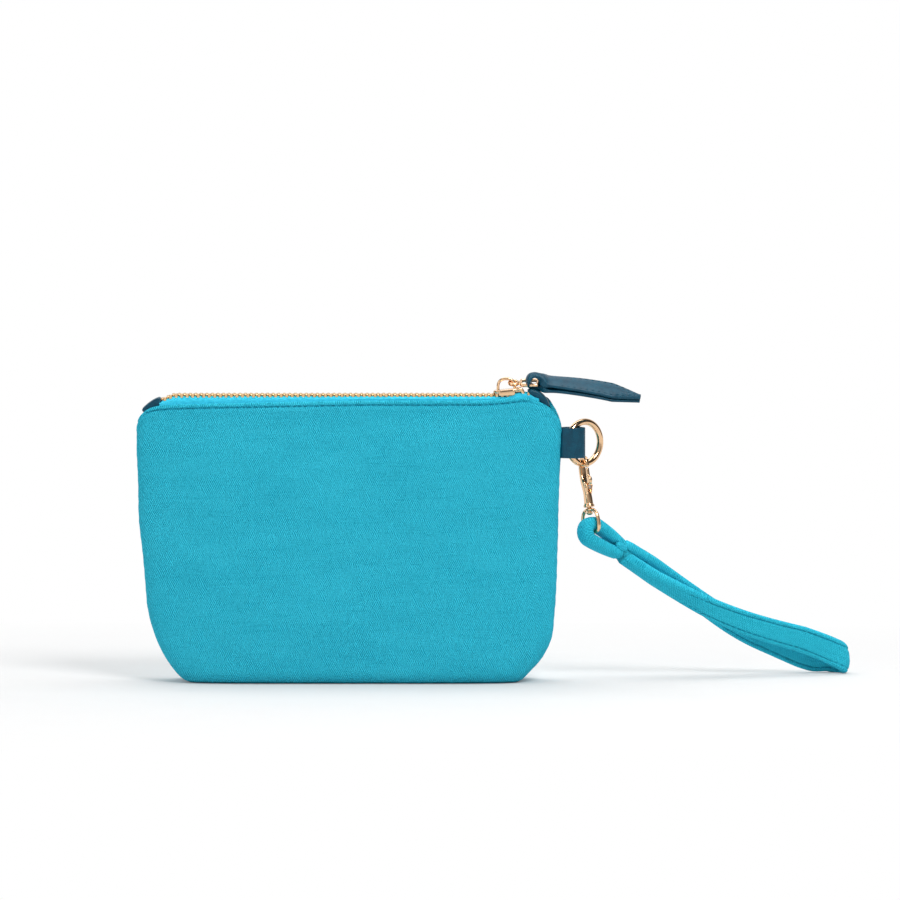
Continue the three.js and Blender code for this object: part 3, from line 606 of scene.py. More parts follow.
# How much fuller than the plain outline the cloth stands at its right and left sides.
def rightFill(z):
    everywhere, low, hip = pouch["rightFill"]
    fill = everywhere + low * (1 - clamp(z / pouch["height"])) + hip * bell(z - 20, 9)
    return smooth((z - 2) / 10) * fill


def leftFill(z):
    low, high, shoulder = pouch["leftFill"]
    return smooth(z / 20) * mix(low, high, smooth((z - 30) / 70)) - shoulder * smooth((z - 108) / 16)


# The front half of the pouch's outline at a height, from the left seam to the right one, set in by inset.
def outlineAt(z, inset):
    halfWidth = halfWidthAt(z) - inset
    halfDepth = halfDepthAt(z) - inset
    up = clamp(z / pouch["height"])
    power = mix(pouch["middleSquareness"], pouch["edgeSquareness"], (2 * up - 1) ** 2)
    middle = pouch["baseShift"] * (1 - clamp(z / pouch["cornerRise"])) ** 2
    turn = np.linspace(math.pi, 2 * math.pi, 1441)
    share = np.sign(np.cos(turn)) * np.abs(np.cos(turn)) ** (2 / power)
    x = middle + halfWidth * share + np.where(share > 0, rightFill(z), leftFill(z)) * share
    y = -halfDepth * np.abs(np.sin(turn)) ** (2 / power)
    path = np.column_stack([x, y])
    run = runOf(path)
    at = columnShares * run[-1]
    return np.column_stack([placesAlong(at, run, path), at - run[-1] / 2])


def outlineTable(inset):
    return np.array([outlineAt(z, inset) for z in levels])


# Points on the wall at a height for each column, with the way out and the run from the middle.
def onWall(table, heights):
    place = np.interp(heights, levels, np.arange(len(levels)))
    low = np.clip(place.astype(int), 0, len(levels) - 2)
    share = (place - low)[..., None]
    columns = np.broadcast_to(np.arange(wallColumns), heights.shape)
    found = mix(table[low, columns], table[low + 1, columns], share)
    tangent = unit(np.gradient(found[..., :2], axis=-2))
    outward = np.stack([tangent[..., 1], -tangent[..., 0], np.zeros(heights.shape)], axis=-1)
    points = np.stack([found[..., 0], found[..., 1], heights], axis=-1)
    return points, outward, found[..., 2]


frontEdge = [(-100.9, 121.5), (-100.4, 125.3), (-99.6, 128.1), (-98.4, 130), (-96.5, 131.3), (-93, 132.3),
             (-88, 132.8), (-72, 133.3), (-42, 133.9), (8, 134.8), (65, 134.8), (75, 135.4), (85, 136.6),
             (88, 136.4), (91.6, 135.4), (93, 134.4), (96, 133.3), (98, 131.6), (99.5, 129.7), (101.2, 123)]
backEdge = [(-100.9, 121.5), (-99.4, 127.6), (-94, 131), (-80, 133), (80, 134.8), (93, 136.4), (97.5, 136.4),
            (99.4, 134.4), (100.4, 131), (101.2, 123)]
topEdges = {1: np.array(frontEdge), -1: np.array(backEdge)}  # front and back, in x and z
outerTable = outlineTable(0)
topLevel = outerTable[np.searchsorted(levels, 127)]


# The height of a wall's top edge in each column, softened so that no corner shows.
def edgeHeights(side):
    heights = np.interp(topLevel[:, 0], *topEdges[side].T)
    for _ in range(3):
        padded = np.concatenate([heights[:1], heights, heights[-1:]])
        heights = (padded[:-2] + 2 * padded[1:-1] + padded[2:]) / 4
    return heights


# The stitches below the top edge end short of the corners.
def stitchedShare(run):
    return smooth((run + stitches["leftEnd"]) / 4) * (1 - smooth((run - stitches["rightEnd"]) / 5))


# How far the cloth stands proud: soft waves, puckered seams at its sides, and the hem under its stitches.
def wallRelief(side, run, heights, edge):
    fromSeam = run[..., -1:] - np.abs(run)
    waves = relief["waves"] * ripples(run, heights, 46, 5 + side)
    waves = waves + relief["smallWaves"] * ripples(run, heights, 17, 9 + side)
    pucker = relief["pucker"] * np.exp(-fromSeam / 4) * wave(heights, 6.5, run)
    under = edge - heights
    dent = 0.7 + 0.3 * wave(run, stitches["pitch"])
    groove = relief["groove"] * dent * stitchedShare(run) * bell(under - stitches["drop"], 0.45)
    hem = relief["hem"] * (bell(under - 0.5, 0.5) + bell(under - 3.4, 1.6)) - groove
    gather = relief["gather"] * bell(under - 4, 3.5) * wave(run, 9, side)
    swell = (waves + pucker) * clamp(heights / 14) * clamp(under / 3 + 0.3)
    return swell - relief["seam"] * bell(fromSeam, 0.9) + hem + gather


# A wall of the pouch as one closed skin: outside, folded top edge, inside, and both its sides.
def wallGrid(side, wall, inset=0, drop=0, hasRelief=True):
    edge = edgeHeights(side) - drop
    heights = rowShares[:, None] * edge[None, :]
    outerPoints, outward, run = onWall(outlineTable(inset), heights)
    innerPoints, _, _ = onWall(outlineTable(inset + wall), heights)
    if hasRelief:
        swell = outward * wallRelief(side, run, heights, edge)[..., None]
        outerPoints = outerPoints + swell
        innerPoints = innerPoints + swell
    middle = (outerPoints[-1] + innerPoints[-1]) / 2
    reach = (outerPoints[-1] - innerPoints[-1]) / 2
    rise = np.array([0, 0, wall / 2])
    turns = np.linspace(0, math.pi, foldSteps + 2)[1:-1]
    rim = np.array([middle + reach * math.cos(turn) + rise * math.sin(turn) for turn in turns])
    loop = np.concatenate([outerPoints, rim, innerPoints[::-1]])
    apart = edge - heights + awayFromStitches * (1 - stitchedShare(run))
    cutRows = np.stack([run, heights, apart], axis=-1)
    cut = np.concatenate([cutRows, np.repeat(cutRows[-1:], foldSteps, axis=0), cutRows[::-1]])
    if side < 0:
        corner = smooth((loop[..., 0] - 91) / 6) * smooth((loop[..., 2] - 120) / 12)
        loop[..., 1] += pouch["cornerLean"] * corner
    loop[..., 1] *= side
    return loop, cut


# A skin's mesh, with a strip of faces at each side.
def wallPiece(name, loop, cut, material):
    count, columns = loop.shape[:2]
    faces = gridFaces(count, columns, wrapRows=True)
    for column in (0, columns - 1):
        for step in range(count // 2 - 1):
            corners = [step, step + 1, count - 2 - step, count - 1 - step]
            faces.append([corner * columns + column for corner in corners])
    return meshOf(name, loop, faces, material, cut)


def declareSheet(width, height):
    width * mm
    height * mm


# The front skins are in two halves, which meet at the middle. The back skins are whole.
def makeSkin(side, name, node, slot, material, flatHalf, flatHeight, grid):
    loop, cut = grid
    if side > 0:
        halves = [("left", slice(middleColumn + 1)), ("right", slice(middleColumn, None))]
    else:
        halves = [(None, slice(None))]
    for seam, part in halves:
        title = f"{name}_{seam}" if seam else name
        piece = wallPiece(title, loop[:, part], cut[:, part], material)
        attach(piece, "root", node, seam)
        declareSheet(flatHalf if seam else 2 * flatHalf, flatHeight)


def makeWalls():
    flat = (pouch["topHalfWidth"] + 4, pouch["height"])
    for side, name, node in ((1, "front_wall", "front_panel"), (-1, "back_wall", "back_panel")):
        makeSkin(side, name, node, "cloth", cloth, *flat, wallGrid(side, pouch["wall"]))


def makeLinings():
    inset = pouch["wall"] + pouch["liningGap"]
    drop = pouch["liningDrop"]
    flat = (pouch["topHalfWidth"] + 2, pouch["height"] - drop)
    for side, name, node in ((1, "lining_front", "lining_front"), (-1, "lining_back_wall", "lining_back")):
        grid = wallGrid(side, pouch["liningWall"], inset, drop, False)
        makeSkin(side, name, node, "lining", lining, *flat, grid)


# The flat base between the walls.
def makeBase():
    front = outlineAt(0, 0.2)[:, :2]
    half = len(front)
    outline = np.concatenate([front, front[-2:0:-1] * [1, -1]])
    count = len(outline)
    rings = []
    for inset, height in ((0.6, 0), (0, 0.4), (0, pouch["wall"] - 0.3), (0.4, pouch["wall"])):
        rings.append(np.column_stack([outline - unit(outline) * inset, np.full(count, height)]))
    loop = np.array(rings)
    faces = gridFaces(len(rings), count, wrapColumns=True)
    for row in (0, len(rings) - 1):
        for step in range(half - 1):
            corners = [step, step + 1, (count - step - 1) % count, (count - step) % count]
            face = [row * count + corner for corner in dict.fromkeys(corners)]
            if len(face) > 2:
                faces.append(face)
    piece = meshOf("base_panel", loop, faces, cloth, loop * [1, 1, 0])
    attach(piece, "root", "back_panel")
    declareSheet(2 * pouch["baseHalfWidth"], 2 * (pouch["baseHalfDepth"] - pouch["baseRound"]))


makeWalls()
makeBase()
makeLinings()
print("cloth body made")

zipper = {
    "left": -91.6,
    "right": 86.4,
    "tuck": 8,  # how far the tapes reach down behind the walls
    "tapeWall": 0.42,
    "height": 137.5,  # of the chain's middle
    "chainRight": 79.6,
    "dip": 2.4,  # of the chain at its left end
    "noseRise": 1.9,  # of the tapes under the slider's nose
    "tooth": 2.2,  # thickness
    "pitch": 2.65,
    "stop": (86.4, 4.4, 137.9),
}


# The chain's height along the zip: it dips at the left end.
def chainAt(x):
    return zipper["height"] - zipper["dip"] * smooth((-82.5 - x) / 8)


# The tapes' inner edges are lifted by the slider's nose and fall to the closed end.
def tapeTopAt(x):
    nose = zipper["noseRise"] * smooth((x - 76) / 5) * (1 - smooth((x - 84.5) / 7))
    return chainAt(x) - 0.2 + nose - 1.6 * smooth((x - 86) / 6)


# A zip tape: tucked inside the wall's fold, then rising like a roof to the teeth.
def tapeGrid(side, x):
    edge = np.interp(x, *topEdges[side].T)
    top = tapeTopAt(x)
    tuckY = pouch["topHalfDepth"] - pouch["wall"] - 0.3
    # each row's depth, its lift over the wall's edge and its share of the way to the teeth
    profile = [(tuckY, -zipper["tuck"], 0), (tuckY, -3, 0), (tuckY - 0.1, -0.6, 0), (tuckY - 0.7, 0.7, 0.25),
               (4.4, 0, 0.62), (3.4, 0, 0.82), (2.2, 0, 1)]
    outer = []
    for depth, lift, share in profile:
        height = mix(edge + lift, top, share) + 0.35 * math.sin(math.pi * share)
        outer.append(np.stack([x, np.full(len(x), -depth), height], axis=-1))
    outer = np.array(outer)
    inner = outer + [0, zipper["tapeWall"], -zipper["tapeWall"]]
    loop = np.concatenate([outer, inner[::-1]])
    rows = np.arange(len(profile)) * 2.0
    rows = np.repeat(np.concatenate([rows, rows[::-1]])[:, None], len(x), axis=1)
    cut = np.stack([loop[..., 0], rows, np.zeros(rows.shape)], axis=-1)
    loop[..., 1] *= side
    return loop, cut


def makeTapes():
    left = zipper["left"] + 1.2
    right = zipper["right"] + 5
    width = 15
    for seam, start, end in (("left", left, 0), ("right", 0, right)):
        piece = wallPiece(f"zip_tape_front_{seam}", *tapeGrid(1, np.linspace(start, end, 90)), tapeCloth)
        attach(piece, "root", "zip_tape_front", seam)
        declareSheet(90, width)
    piece = wallPiece("zip_tape_back_whole", *tapeGrid(-1, np.linspace(left, right, 180)), tapeCloth)
    attach(piece, "root", "zip_tape_back")
    declareSheet(181, width)


# One tooth: two legs that grip the tape's bead and a head that meshes with the other row.
def toothPart(x, side):
    thick = zipper["tooth"]
    low = chainAt(x) - thick / 2
    lower = [(-3.5, 0.15), (-3.3, 0), (-1.5, 0), (-0.6, 0.35), (1.1, 0.45), (1.4, 0.8)]
    outline = lower + [(y, thick - z) for y, z in lower[::-1]]
    rings = []
    for offset, inset in ((-0.78, 0.45), (-0.68, 0.15), (-0.45, 0), (0.45, 0), (0.68, 0.15), (0.78, 0.45)):
        section = []
        for y, z in outline:
            narrow = 0.72 if y > -1 else 1
            held = mix(z, thick / 2, inset / thick * 2)
            section.append((x + offset * narrow, side * (y + (inset if y < 0 else -inset) * 0.5), low + held))
        rings.append(section)
    return np.array(rings), tubeFaces(rings), None


# The stop that is clamped on the tape at the closed end.
def stopPart(side):
    middle = np.array(zipper["stop"]) * [1, -side, 1]
    path = np.linspace(middle - [0, 0, 1.2], middle + [0, 0, 1.2], 7)
    return sweptPart(path, (1, 0, 0), easedSections(oblong(0.55, 0.7, 0.3), 7))


def makeTeeth():
    pitch = zipper["pitch"]
    count = int((zipper["chainRight"] - zipper["left"] - 1) / pitch)
    places = zipper["left"] + 1.2 + np.arange(count) * pitch
    left = [toothPart(x, 1) for x in places if x < 0]
    right = [toothPart(x, 1) for x in places if x >= 0] + [stopPart(1)]
    for seam, parts in (("left", left), ("right", right)):
        makePiece(f"zip_teeth_front_{seam}", parts, brass, "root", "zip_teeth_front", seam)
    back = [toothPart(x + pitch / 2, -1) for x in places] + [stopPart(-1)]
    makePiece("zip_teeth_back_whole", back, brass, "root", "zip_teeth_back")


# Dashes of thread along a line on a surface, each one dipping into the cloth at its ends.
def stitchParts(line, outward, thread=(stitches["pitch"], stitches["length"], stitches["radius"])):
    pitch, length, radius = thread
    run = runOf(line)
    outward = np.broadcast_to(np.asarray(outward, float), line.shape)
    steps = 7
    hump = np.sin(np.linspace(0, math.pi, steps))
    lift = radius * (hump * 1.3 - 0.7)
    turns = np.linspace(0, 2 * math.pi, 9)[:-1]
    circle = np.stack([np.cos(turns), np.sin(turns)], axis=1) * radius
    sections = circle[None] * (0.55 + 0.45 * np.abs(hump) ** 0.5)[:, None, None]
    parts = []
    for start in np.arange(pitch / 2, run[-1] - length, pitch):
        at = start + length * np.linspace(0, 1, steps)
        path = placesAlong(at, run, line)
        way = unit(placesAlong(at, run, outward))
        widthways = np.cross(unit(np.gradient(path, axis=0)), way)
        parts.append(sweptPart(path + way * lift[:, None], widthways, sections))
    return parts


# Stitches below the front wall's top edge.
def makeTopStitches():
    edge = edgeHeights(1)
    height = (edge - stitches["drop"])[None, :]
    points, outward, run = onWall(outerTable, height)
    line = (points + outward * wallRelief(1, run, height, edge)[..., None])[0]
    keep = (run[0] > 3 - stitches["leftEnd"]) & (run[0] < stitches["rightEnd"] + 2)
    left = line[:, 0] <= 0.6
    for seam, part in (("left", keep & left), ("right", keep & ~left)):
        parts = stitchParts(line[part], outward[0][part])
        makePiece(f"top_stitch_{seam}", parts, clothThread, "root", seam=seam)


makeTapes()
makeTeeth()
makeTopStitches()
print("zip made")

endTabs = {
    "leftLine": [(-89.4, 134.9), (-92, 133.9), (-95, 131.9), (-97.8, 129.3)],  # x and z down its middle
    "leftHalf": (4.5, 2.2),  # half its width and half its thickness
    "rightLine": [(86, 138.6), (88.4, 138.6), (91.2, 137.3), (93.5, 134.8), (94.9, 131.8)],
    "rightHalf": (3.7, 1.7),
}


# A leather tab folded over one end of the zip, sloping down between the walls.
def makeEndTab(end, sign):
    path = upright(curveThrough(endTabs[f"{end}Line"], 26))
    halfWide, halfThick = endTabs[f"{end}Half"]
    section = oblong(halfWide, halfThick, 0.8, 4, 8)
    sections = easedSections(section, len(path), (0.72, 0.93))
    swell = 0.5 * (1 - (section[:, 0] / halfWide) ** 2) * np.sign(section[:, 1])
    sections[..., 1] += swell * sign
    part = sweptPart(path, (0, 1, 0), sections)
    makePiece(f"end_tab_{end}", [part], leather, "root", f"zip_end_tab_{end}")


makeEndTab("left", -1)
makeEndTab("right", 1)
print("end tabs made")

slider = {
    "left": 71.2,
    "length": 12.6,
    "halfWidth": 4.7,
    "tail": 1.6,  # how far the plates reach past its left end
    "bevel": 1.4,
    "head": 5,  # the rounded stretch at its right end
    "plate": 1.1,
    "keelShare": 0.68,  # the lower plate's width over the upper one's
    "play": 0.3,  # between the plates and the teeth
    "lip": (0.45, 1.2),
    "nose": (81.2, 2.9, 3.1),  # place, radius and half width
    "tilt": 6,
}
crown = {
    "radius": 4,
    "squareness": 0.8,
    "leg": 1.5,
    "wire": 1.2,
}
teethHalf = zipper["tooth"] / 2
plateTop = zipper["height"] + teethHalf + slider["play"] + slider["plate"]
crownX = slider["left"] + crown["wire"] / 2 + crown["radius"]
crownZ = plateTop + crown["leg"]


# Slider: a plate with lips over the teeth, a keel below and a nose that parts the tapes.
def makeSlider():
    halfPlate = slider["plate"] / 2
    half = slider["halfWidth"]
    start = slider["left"]
    end = start + slider["length"]
    top = plateTop - halfPlate
    low = zipper["height"] - teethHalf - slider["play"] - halfPlate
    left = start - slider["tail"]
    head = end - slider["head"]
    bevel = slider["bevel"]
    plan = [(left, bevel - half), (left + bevel, -half), (head, -half)]
    plan += arcPoints((head, 0), half, -75, 75, 11)
    plan += [(head, half), (left + bevel, half), (left, half - bevel)]
    keel = [(x, y * slider["keelShare"]) for x, y in plan]
    parts = []
    for outline, height, rim in ((plan, top, 0.35), (keel, low, 0.3)):
        points, faces, cut = platePart(outline, halfPlate, rim)
        parts.append((points[..., [0, 2, 1]] + [0, 0, height], faces, cut))
    lip = easedSections(oblong(*slider["lip"], 0.25), 12)
    for side in (-1, 1):
        y = side * (half - slider["lip"][0])
        path = np.linspace((start + 1, y, top - 0.9), (end - 4, y, top - 0.9), 12)
        parts.append(sweptPart(path, (0, 1, 0), lip))
    noseX, noseRadius, noseHalfWidth = slider["nose"]
    arch = upright(np.array(arcPoints((noseX, top - 2.6), noseRadius, 180, 0, 19)))
    for side in (-1, 1):
        parts.append(sweptPart(arch + [0, side * noseHalfWidth, 0], (0, 1, 0), oblong(1, 0.7, 0.4)))
    postX = zipper["chainRight"] + 1.8
    post = np.linspace((postX, 0, low - 0.2), (postX, 0, top + 0.2), 4)
    parts.append(sweptPart(post, (1, 0, 0), oblong(1.5, 1.1, 0.4)))
    for points, _, _ in parts:  # the top tilts, the keel stays level with the teeth
        rise = (points[..., 0] - start) * math.tan(math.radians(slider["tilt"]))
        points[..., 2] += rise * clamp((points[..., 2] - low) / (top - low))
    makePiece("slider_plate", parts, gold, "slider", "slider_body")


# The arch that the link hangs in.
def makeCrown():
    radius = crown["radius"]
    power = crown["squareness"]
    path = [(crownX - radius, 0, plateTop - 0.3), (crownX - radius, 0, crownZ - 0.6)]
    for turn in np.linspace(math.pi, 0, 21):
        across = np.sign(math.cos(turn)) * abs(math.cos(turn)) ** power
        path.append((crownX + radius * across, 0, crownZ + radius * math.sin(turn) ** power))
    path += [(crownX + radius, 0, crownZ - 0.6), (crownX + radius, 0, plateTop - 0.3)]
    part = sweptPart(evenly(np.array(path), 44), (0, 1, 0), oblong(0.95, crown["wire"] / 2 + 0.1, 0.6))
    makePiece("crown_arch", [part], gold, "slider", "slider_crown")


link = {
    "length": 11.8,
    "halfWidth": 3.7,
    "bar": 1.1,
    "wire": 0.85,
    "lean": 30,
    "roll": 20,
}
roll = math.radians(link["roll"])
lean = math.radians(link["lean"])
linkOrigin = (crownX + crown["radius"] * math.cos(lean), 0, crownZ + crown["radius"] * math.sin(lean))
linkSide = (0, math.cos(roll), math.sin(roll))
linkPlace = Place(linkOrigin, (1, 0, 0), linkSide, (0, -math.sin(roll), math.cos(roll)))


# The link: an eyelet round the crown and a long loop that the leather is folded through.
def makeLink():
    wire = oblong(link["wire"], 0.7, 0.68)
    eyelet = np.array([(x, y, 0) for x, y in arcPoints((0, 0), 2.1, 0, 345, 24)])
    half = link["halfWidth"] - link["wire"]
    start = 3.6
    end = link["length"] - link["bar"] + link["wire"]
    side = [(start, 0), (start, -half + 1), (start + 1, -half), (end - 1, -half), (end, -half + 1)]
    loop = side + [(end, 0)] + [(x, -y) for x, y in side[:0:-1]] + side[:1]
    loop = curveThrough([(x, y, 0) for x, y in loop], 61)[:-1]
    neck = np.linspace((2.2, 0, 0), (start, 0, 0), 5)
    parts = [sweptPart(eyelet, (0, 0, 1), wire, True), sweptPart(loop, (0, 0, 1), wire, True),
             sweptPart(neck, (0, 0, 1), oblong(0.5, 1.5, 0.3))]
    makePiece("link_loop", parts, gold, "link", "pull_link", place=linkPlace)


pull = {
    "length": 51,
    "halfWidth": 6.3,
    "neckHalfWidth": 1.95,
    "tipHalfWidth": 1.3,
    "tipLength": 13.5,
    "skin": 1.4,
    "layerGap": 0.5,
    "crown": 0.7,  # how far each layer swells
    "arch": 1.4,  # of the whole pull
    "twist": 11,  # towards the tip
    "dip": 9.4,
    "foldRadius": 3.9,
    "foldRise": 0.9,
    "foldLead": 0.3,
    "foldFill": 1.7,  # the inner side's swell near the fold
    "thread": (3.0, 2.0, 0.18),  # pitch, length and radius of the stitches
}
dip = math.radians(pull["dip"])
pullPlace = Place(linkPlace.at([link["length"] - link["bar"] - 0.3, 0, 0]),
                  linkPlace.way([math.cos(dip), 0, -math.sin(dip)]), linkPlace.way([0, 1, 0]),
                  linkPlace.way([math.sin(dip), 0, math.cos(dip)]))


def pullHalfAt(run):
    flare = 0.8 * smooth((run - 0.8) / 4.5) + 0.2 * smooth(run / 25)
    tip = clamp((run - pull["length"] + pull["tipLength"]) / pull["tipLength"])
    return mix(mix(pull["neckHalfWidth"], pull["halfWidth"], flare), pull["tipHalfWidth"], tip)


# The leather's own twist: it turns a little about its length towards the tip.
def twisted(points):
    share = clamp(points[..., 0] / pull["length"])
    turn = math.radians(pull["twist"]) * share ** 1.3
    y = points[..., 1] * np.cos(turn) - points[..., 2] * np.sin(turn)
    z = points[..., 1] * np.sin(turn) + points[..., 2] * np.cos(turn) + pull["arch"] * np.sin(math.pi * share)
    return pullPlace.at(np.stack([points[..., 0], y, z], axis=-1))


# The leather pull: one strip folded round the link's bar, its layers stitched together.
def makePull():
    length = pull["length"]
    radius = pull["foldRadius"] - pull["skin"] / 2
    rise = pull["foldRise"]
    apart = pull["layerGap"] / 2 + pull["skin"] / 2
    line = [(length, apart), (38, apart + 0.1), (26, apart + 0.15), (17, apart + 0.2), (10, apart + 0.3),
            (5.6, apart + 0.7), (2.6, rise + radius * 0.78)]
    line += arcPoints((-pull["foldLead"], rise), radius, 90, 270, 9)
    line += [(2.6, rise - radius * 0.98), (5.6, -apart - 0.9), (10, -apart - 0.4), (17, -apart - 0.2)]
    line += [(26, -apart - 0.1), (38, -apart), (length, -apart)]
    path = curveThrough(line, 160)
    halves = pullHalfAt(np.abs(path[:, 0]))
    rim = 0.45
    base = oblong(1, pull["skin"] / 2, rim, 4, 12)  # stretched to the strip's width below
    flat = np.clip(base[:, 0] / (1 - rim), -1, 1)
    sections = np.repeat(base[None], len(path), axis=0)
    sections[..., 0] = flat * (halves[:, None] - rim) + base[:, 0] - flat * (1 - rim)
    sections[..., 1] += np.sign(base[:, 1]) * pull["crown"] * (1 - flat ** 2)
    fill = pull["foldFill"] * bell(path[:, 0] - 3.6, 2.2)
    sections[..., 1] += fill[:, None] * (base[:, 1] > 0)
    points, faces, cut = sweptPart(upright(path), (0, 1, 0), sections)
    makePiece("pull_leather", [(twisted(points), faces, cut)], leather, "pull", "leather_pull")
    along = np.linspace(10, length - 2.4, 60)
    edge = pullHalfAt(along) - 1.2
    outside = np.full(60, apart + pull["skin"] / 2 + 0.25)
    rows = []
    for side in (-1, 1):
        for face in (-1, 1):
            line = np.column_stack([along, side * edge, face * outside])
            rows += stitchParts(twisted(line), pullPlace.way([0, 0, face]), pull["thread"])
    makePiece("pull_stitch", rows, leatherThread, "pull")


makeSlider()
makeCrown()
makeLink()
makePull()
print("slider and pull made")

sideTab = {
    "start": 97,
    "height": 14.6,
    "middle": 114.3,
    "lift": 0.5,
    "skin": 1.3,
    "foldHalfWidth": 3.1,  # the room for the ring
    "foldEnd": 109,
}
ring = {
    "radius": 10.1,
    "wire": 1.6,
    "yaw": 40,
    "seat": (105.5, -0.9),
}


# The side tab: a strip from the side seam, folded round the ring.
def makeSideTab():
    skin = sideTab["skin"]
    end = sideTab["foldEnd"]
    inner = sideTab["foldHalfWidth"] + 0.25 + skin / 2
    layer = 0.15 + skin / 2
    line = [(sideTab["start"], -layer), (100.5, -layer), (103.5, -inner + 0.8), (106, -inner), (end, -inner)]
    line += arcPoints((end, 0), inner, -75, 75, 7)
    line += [(x, -y) for x, y in line[4::-1]]
    path = curveThrough(line, 90)
    path = np.column_stack([path, np.full(len(path), sideTab["middle"] + sideTab["lift"])])
    points, faces, cut = sweptPart(path, (0, 0, 1), oblong(sideTab["height"] / 2, skin / 2, 0.3, 3, 10))
    points[..., 1] += 0.35 * np.sin(points[..., 0] * 0.9 + 1.6) * clamp((points[..., 0] - 101) / 3)
    makePiece("side_tab_leather", [(points, faces, cut)], leather, "root", "side_tab")


yaw = math.radians(ring["yaw"])
ringTurn = np.array([math.cos(yaw), math.sin(yaw), 0])
hookSide = np.array([ringTurn[1], -ringTurn[0], 0])
ringCentre = np.array([*ring["seat"], sideTab["middle"]]) + ringTurn * ring["radius"]


def makeRing():
    turns = np.linspace(0, 2 * math.pi, 97)[:-1, None]
    path = ringCentre + (ringTurn * np.cos(turns) + np.array([0, 0, 1]) * np.sin(turns)) * ring["radius"]
    part = sweptPart(path, hookSide, wireSection(ring["wire"], 6), True)
    makePiece("ring_wire", [part], gold, "ring", "o_ring")


makeSideTab()
makeRing()
print("tab and ring made")

hook = {
    "swing": 10,
    "twist": 15,  # about its length, from the ring's frame
    "bowRadius": 2.9,
    "shankHalfWidth": 2,
    "collarDepth": 19.9,
    "collarThickness": 1.2,
    "collarRadius": 2.7,
    "pivot": (2, 11),  # of the gate
}
swing = math.radians(hook["swing"])
twist = math.radians(hook["twist"])
hookSeat = ringCentre - [0, 0, ring["radius"]]
hookDown = hookSide * math.sin(swing) - [0, 0, math.cos(swing)]
barSide = hookSide * math.cos(swing) + [0, 0, math.sin(swing)]
hookPlace = Place(hookSeat, barSide, ringTurn, -hookDown)
bodyPlace = Place(hookSeat, hookPlace.way([math.cos(twist), -math.sin(twist), 0]),
                  hookPlace.way([math.sin(twist), math.cos(twist), 0]), -hookDown)
eye = {
    "topBar": 1.9,
    "wire": 1.7,
    "halfWidth": 6.5,
    "height": 12.6,
    "halfThickness": 1.3,
}
collarFoot = hook["collarDepth"] + hook["collarThickness"]
eyeTop = collarFoot + 0.3
eyeBar = eyeTop + eye["height"] - eye["wire"] / 2


# The hook: a bow over the ring that widens into a flat body, two cheeks for the gate, a shank and a collar.
def makeHook():
    bow = hook["bowRadius"]
    collar = hook["collarDepth"]
    spine = [(bow, -2.0), (bow, -1.2)] + arcPoints((0, 0), bow, 0, 180, 15)
    spine += [(-bow, -2.5), (-2.75, -5.5), (-2.3, -8), (-1.5, -10), (-0.75, -12.4), (-0.2, -14.6), (0, -17),
              (0, -collar - 0.2)]
    path = curveThrough(spine, 90)
    run = runOf(path)
    body = smooth((run - 15) / 6)
    shank = smooth((run - 24) / 6)
    tip = np.sqrt(clamp(run / 0.9 + 0.2))
    halves = mix(mix(0.9, 1.7, body), hook["shankHalfWidth"], shank) * tip
    thicks = mix(mix(0.95, 1.6, smooth((run - 8) / 6)), 1.75, shank) * tip
    sections = [oblong(half, thick, 0.55 * min(half, thick), 4, 5) for half, thick in zip(halves, thicks)]
    parts = [sweptPart(upright(path), (0, 1, 0), np.array(sections)[..., ::-1])]
    cheek = [(0.2, -9.2), (2.9, -9.6), (3.5, -11), (2.6, -13.2), (1.2, -15.5), (0, -15.5)]
    for side in (-1, 1):
        points, faces, cut = platePart(evenly(np.array(cheek + cheek[:1]), 40)[:-1], 0.24, 0.12)
        parts.append((points + [0, side * 1.25, 0], faces, cut))
    parts.append(discPart(2.35, -collar - 0.1, -collar + 0.7))
    parts.append(discPart(hook["collarRadius"], -collarFoot, -collar))
    rivet = -collarFoot - 0.6 - eye["topBar"]
    parts.append(turnedPart([(1.1, rivet - 0.3), (1.1, -collar - 0.5)], 16))
    parts.append(turnedPart([(0.3, rivet - 1.3), (1.1, rivet - 1.1), (1.6, rivet - 0.6), (1.7, rivet - 0.2),
                             (1.5, rivet)]))
    makePiece("hook_body", parts, gold, "hook", "snap_hook", place=bodyPlace)


# The gate: a lever from its pin up to the bow's nose, with a rounded thumb knob.
def makeGate():
    pivotX, pivotDepth = hook["pivot"]
    outline = [(2.1, -2.5), (3.3, -2.4), (3.7, -5.5)]
    outline += [(4.1, -6.4), (5.1, -6.9), (5.5, -8), (5.2, -9.4), (4.2, -10.2)]  # the knob
    outline += arcPoints((pivotX, -pivotDepth), 1.5, -10, -190, 11)
    outline += [(1.7, -9), (2.0, -5.5)]
    part = platePart(curveThrough(outline + outline[:1], 90)[:-1], 0.66, 0.25)
    makePiece("gate_lever", [part], gold, "gate", "hook_gate", place=bodyPlace)


# The pin through the cheeks, with a domed head at each end, and the spring's coil round it.
def makePinAndSpring():
    pivotX, pivotDepth = hook["pivot"]
    head = [(0.2, -2), (0.7, -1.9), (0.95, -1.6), (0.95, -1.47), (0.6, -1.47)]
    points, faces, cut = turnedPart(head + [(radius, -height) for radius, height in head[::-1]], 16)
    lying = points[..., [0, 2, 1]] * [1, 1, -1] + [pivotX, 0, -pivotDepth]
    makePiece("pin_rivet", [(lying, faces, cut)], gold, "hook", "gate_pin", place=bodyPlace)
    turns = np.linspace(0, 5 * math.pi, 61)
    coil = np.column_stack([pivotX + 1.75 * np.cos(turns), np.linspace(-0.6, 0.6, 61),
                            -pivotDepth + 1.75 * np.sin(turns)])
    part = sweptPart(coil, (0, 1, 0), wireSection(0.13, 2))
    makePiece("spring_coil", [part], steel, "hook", "gate_spring", place=bodyPlace)


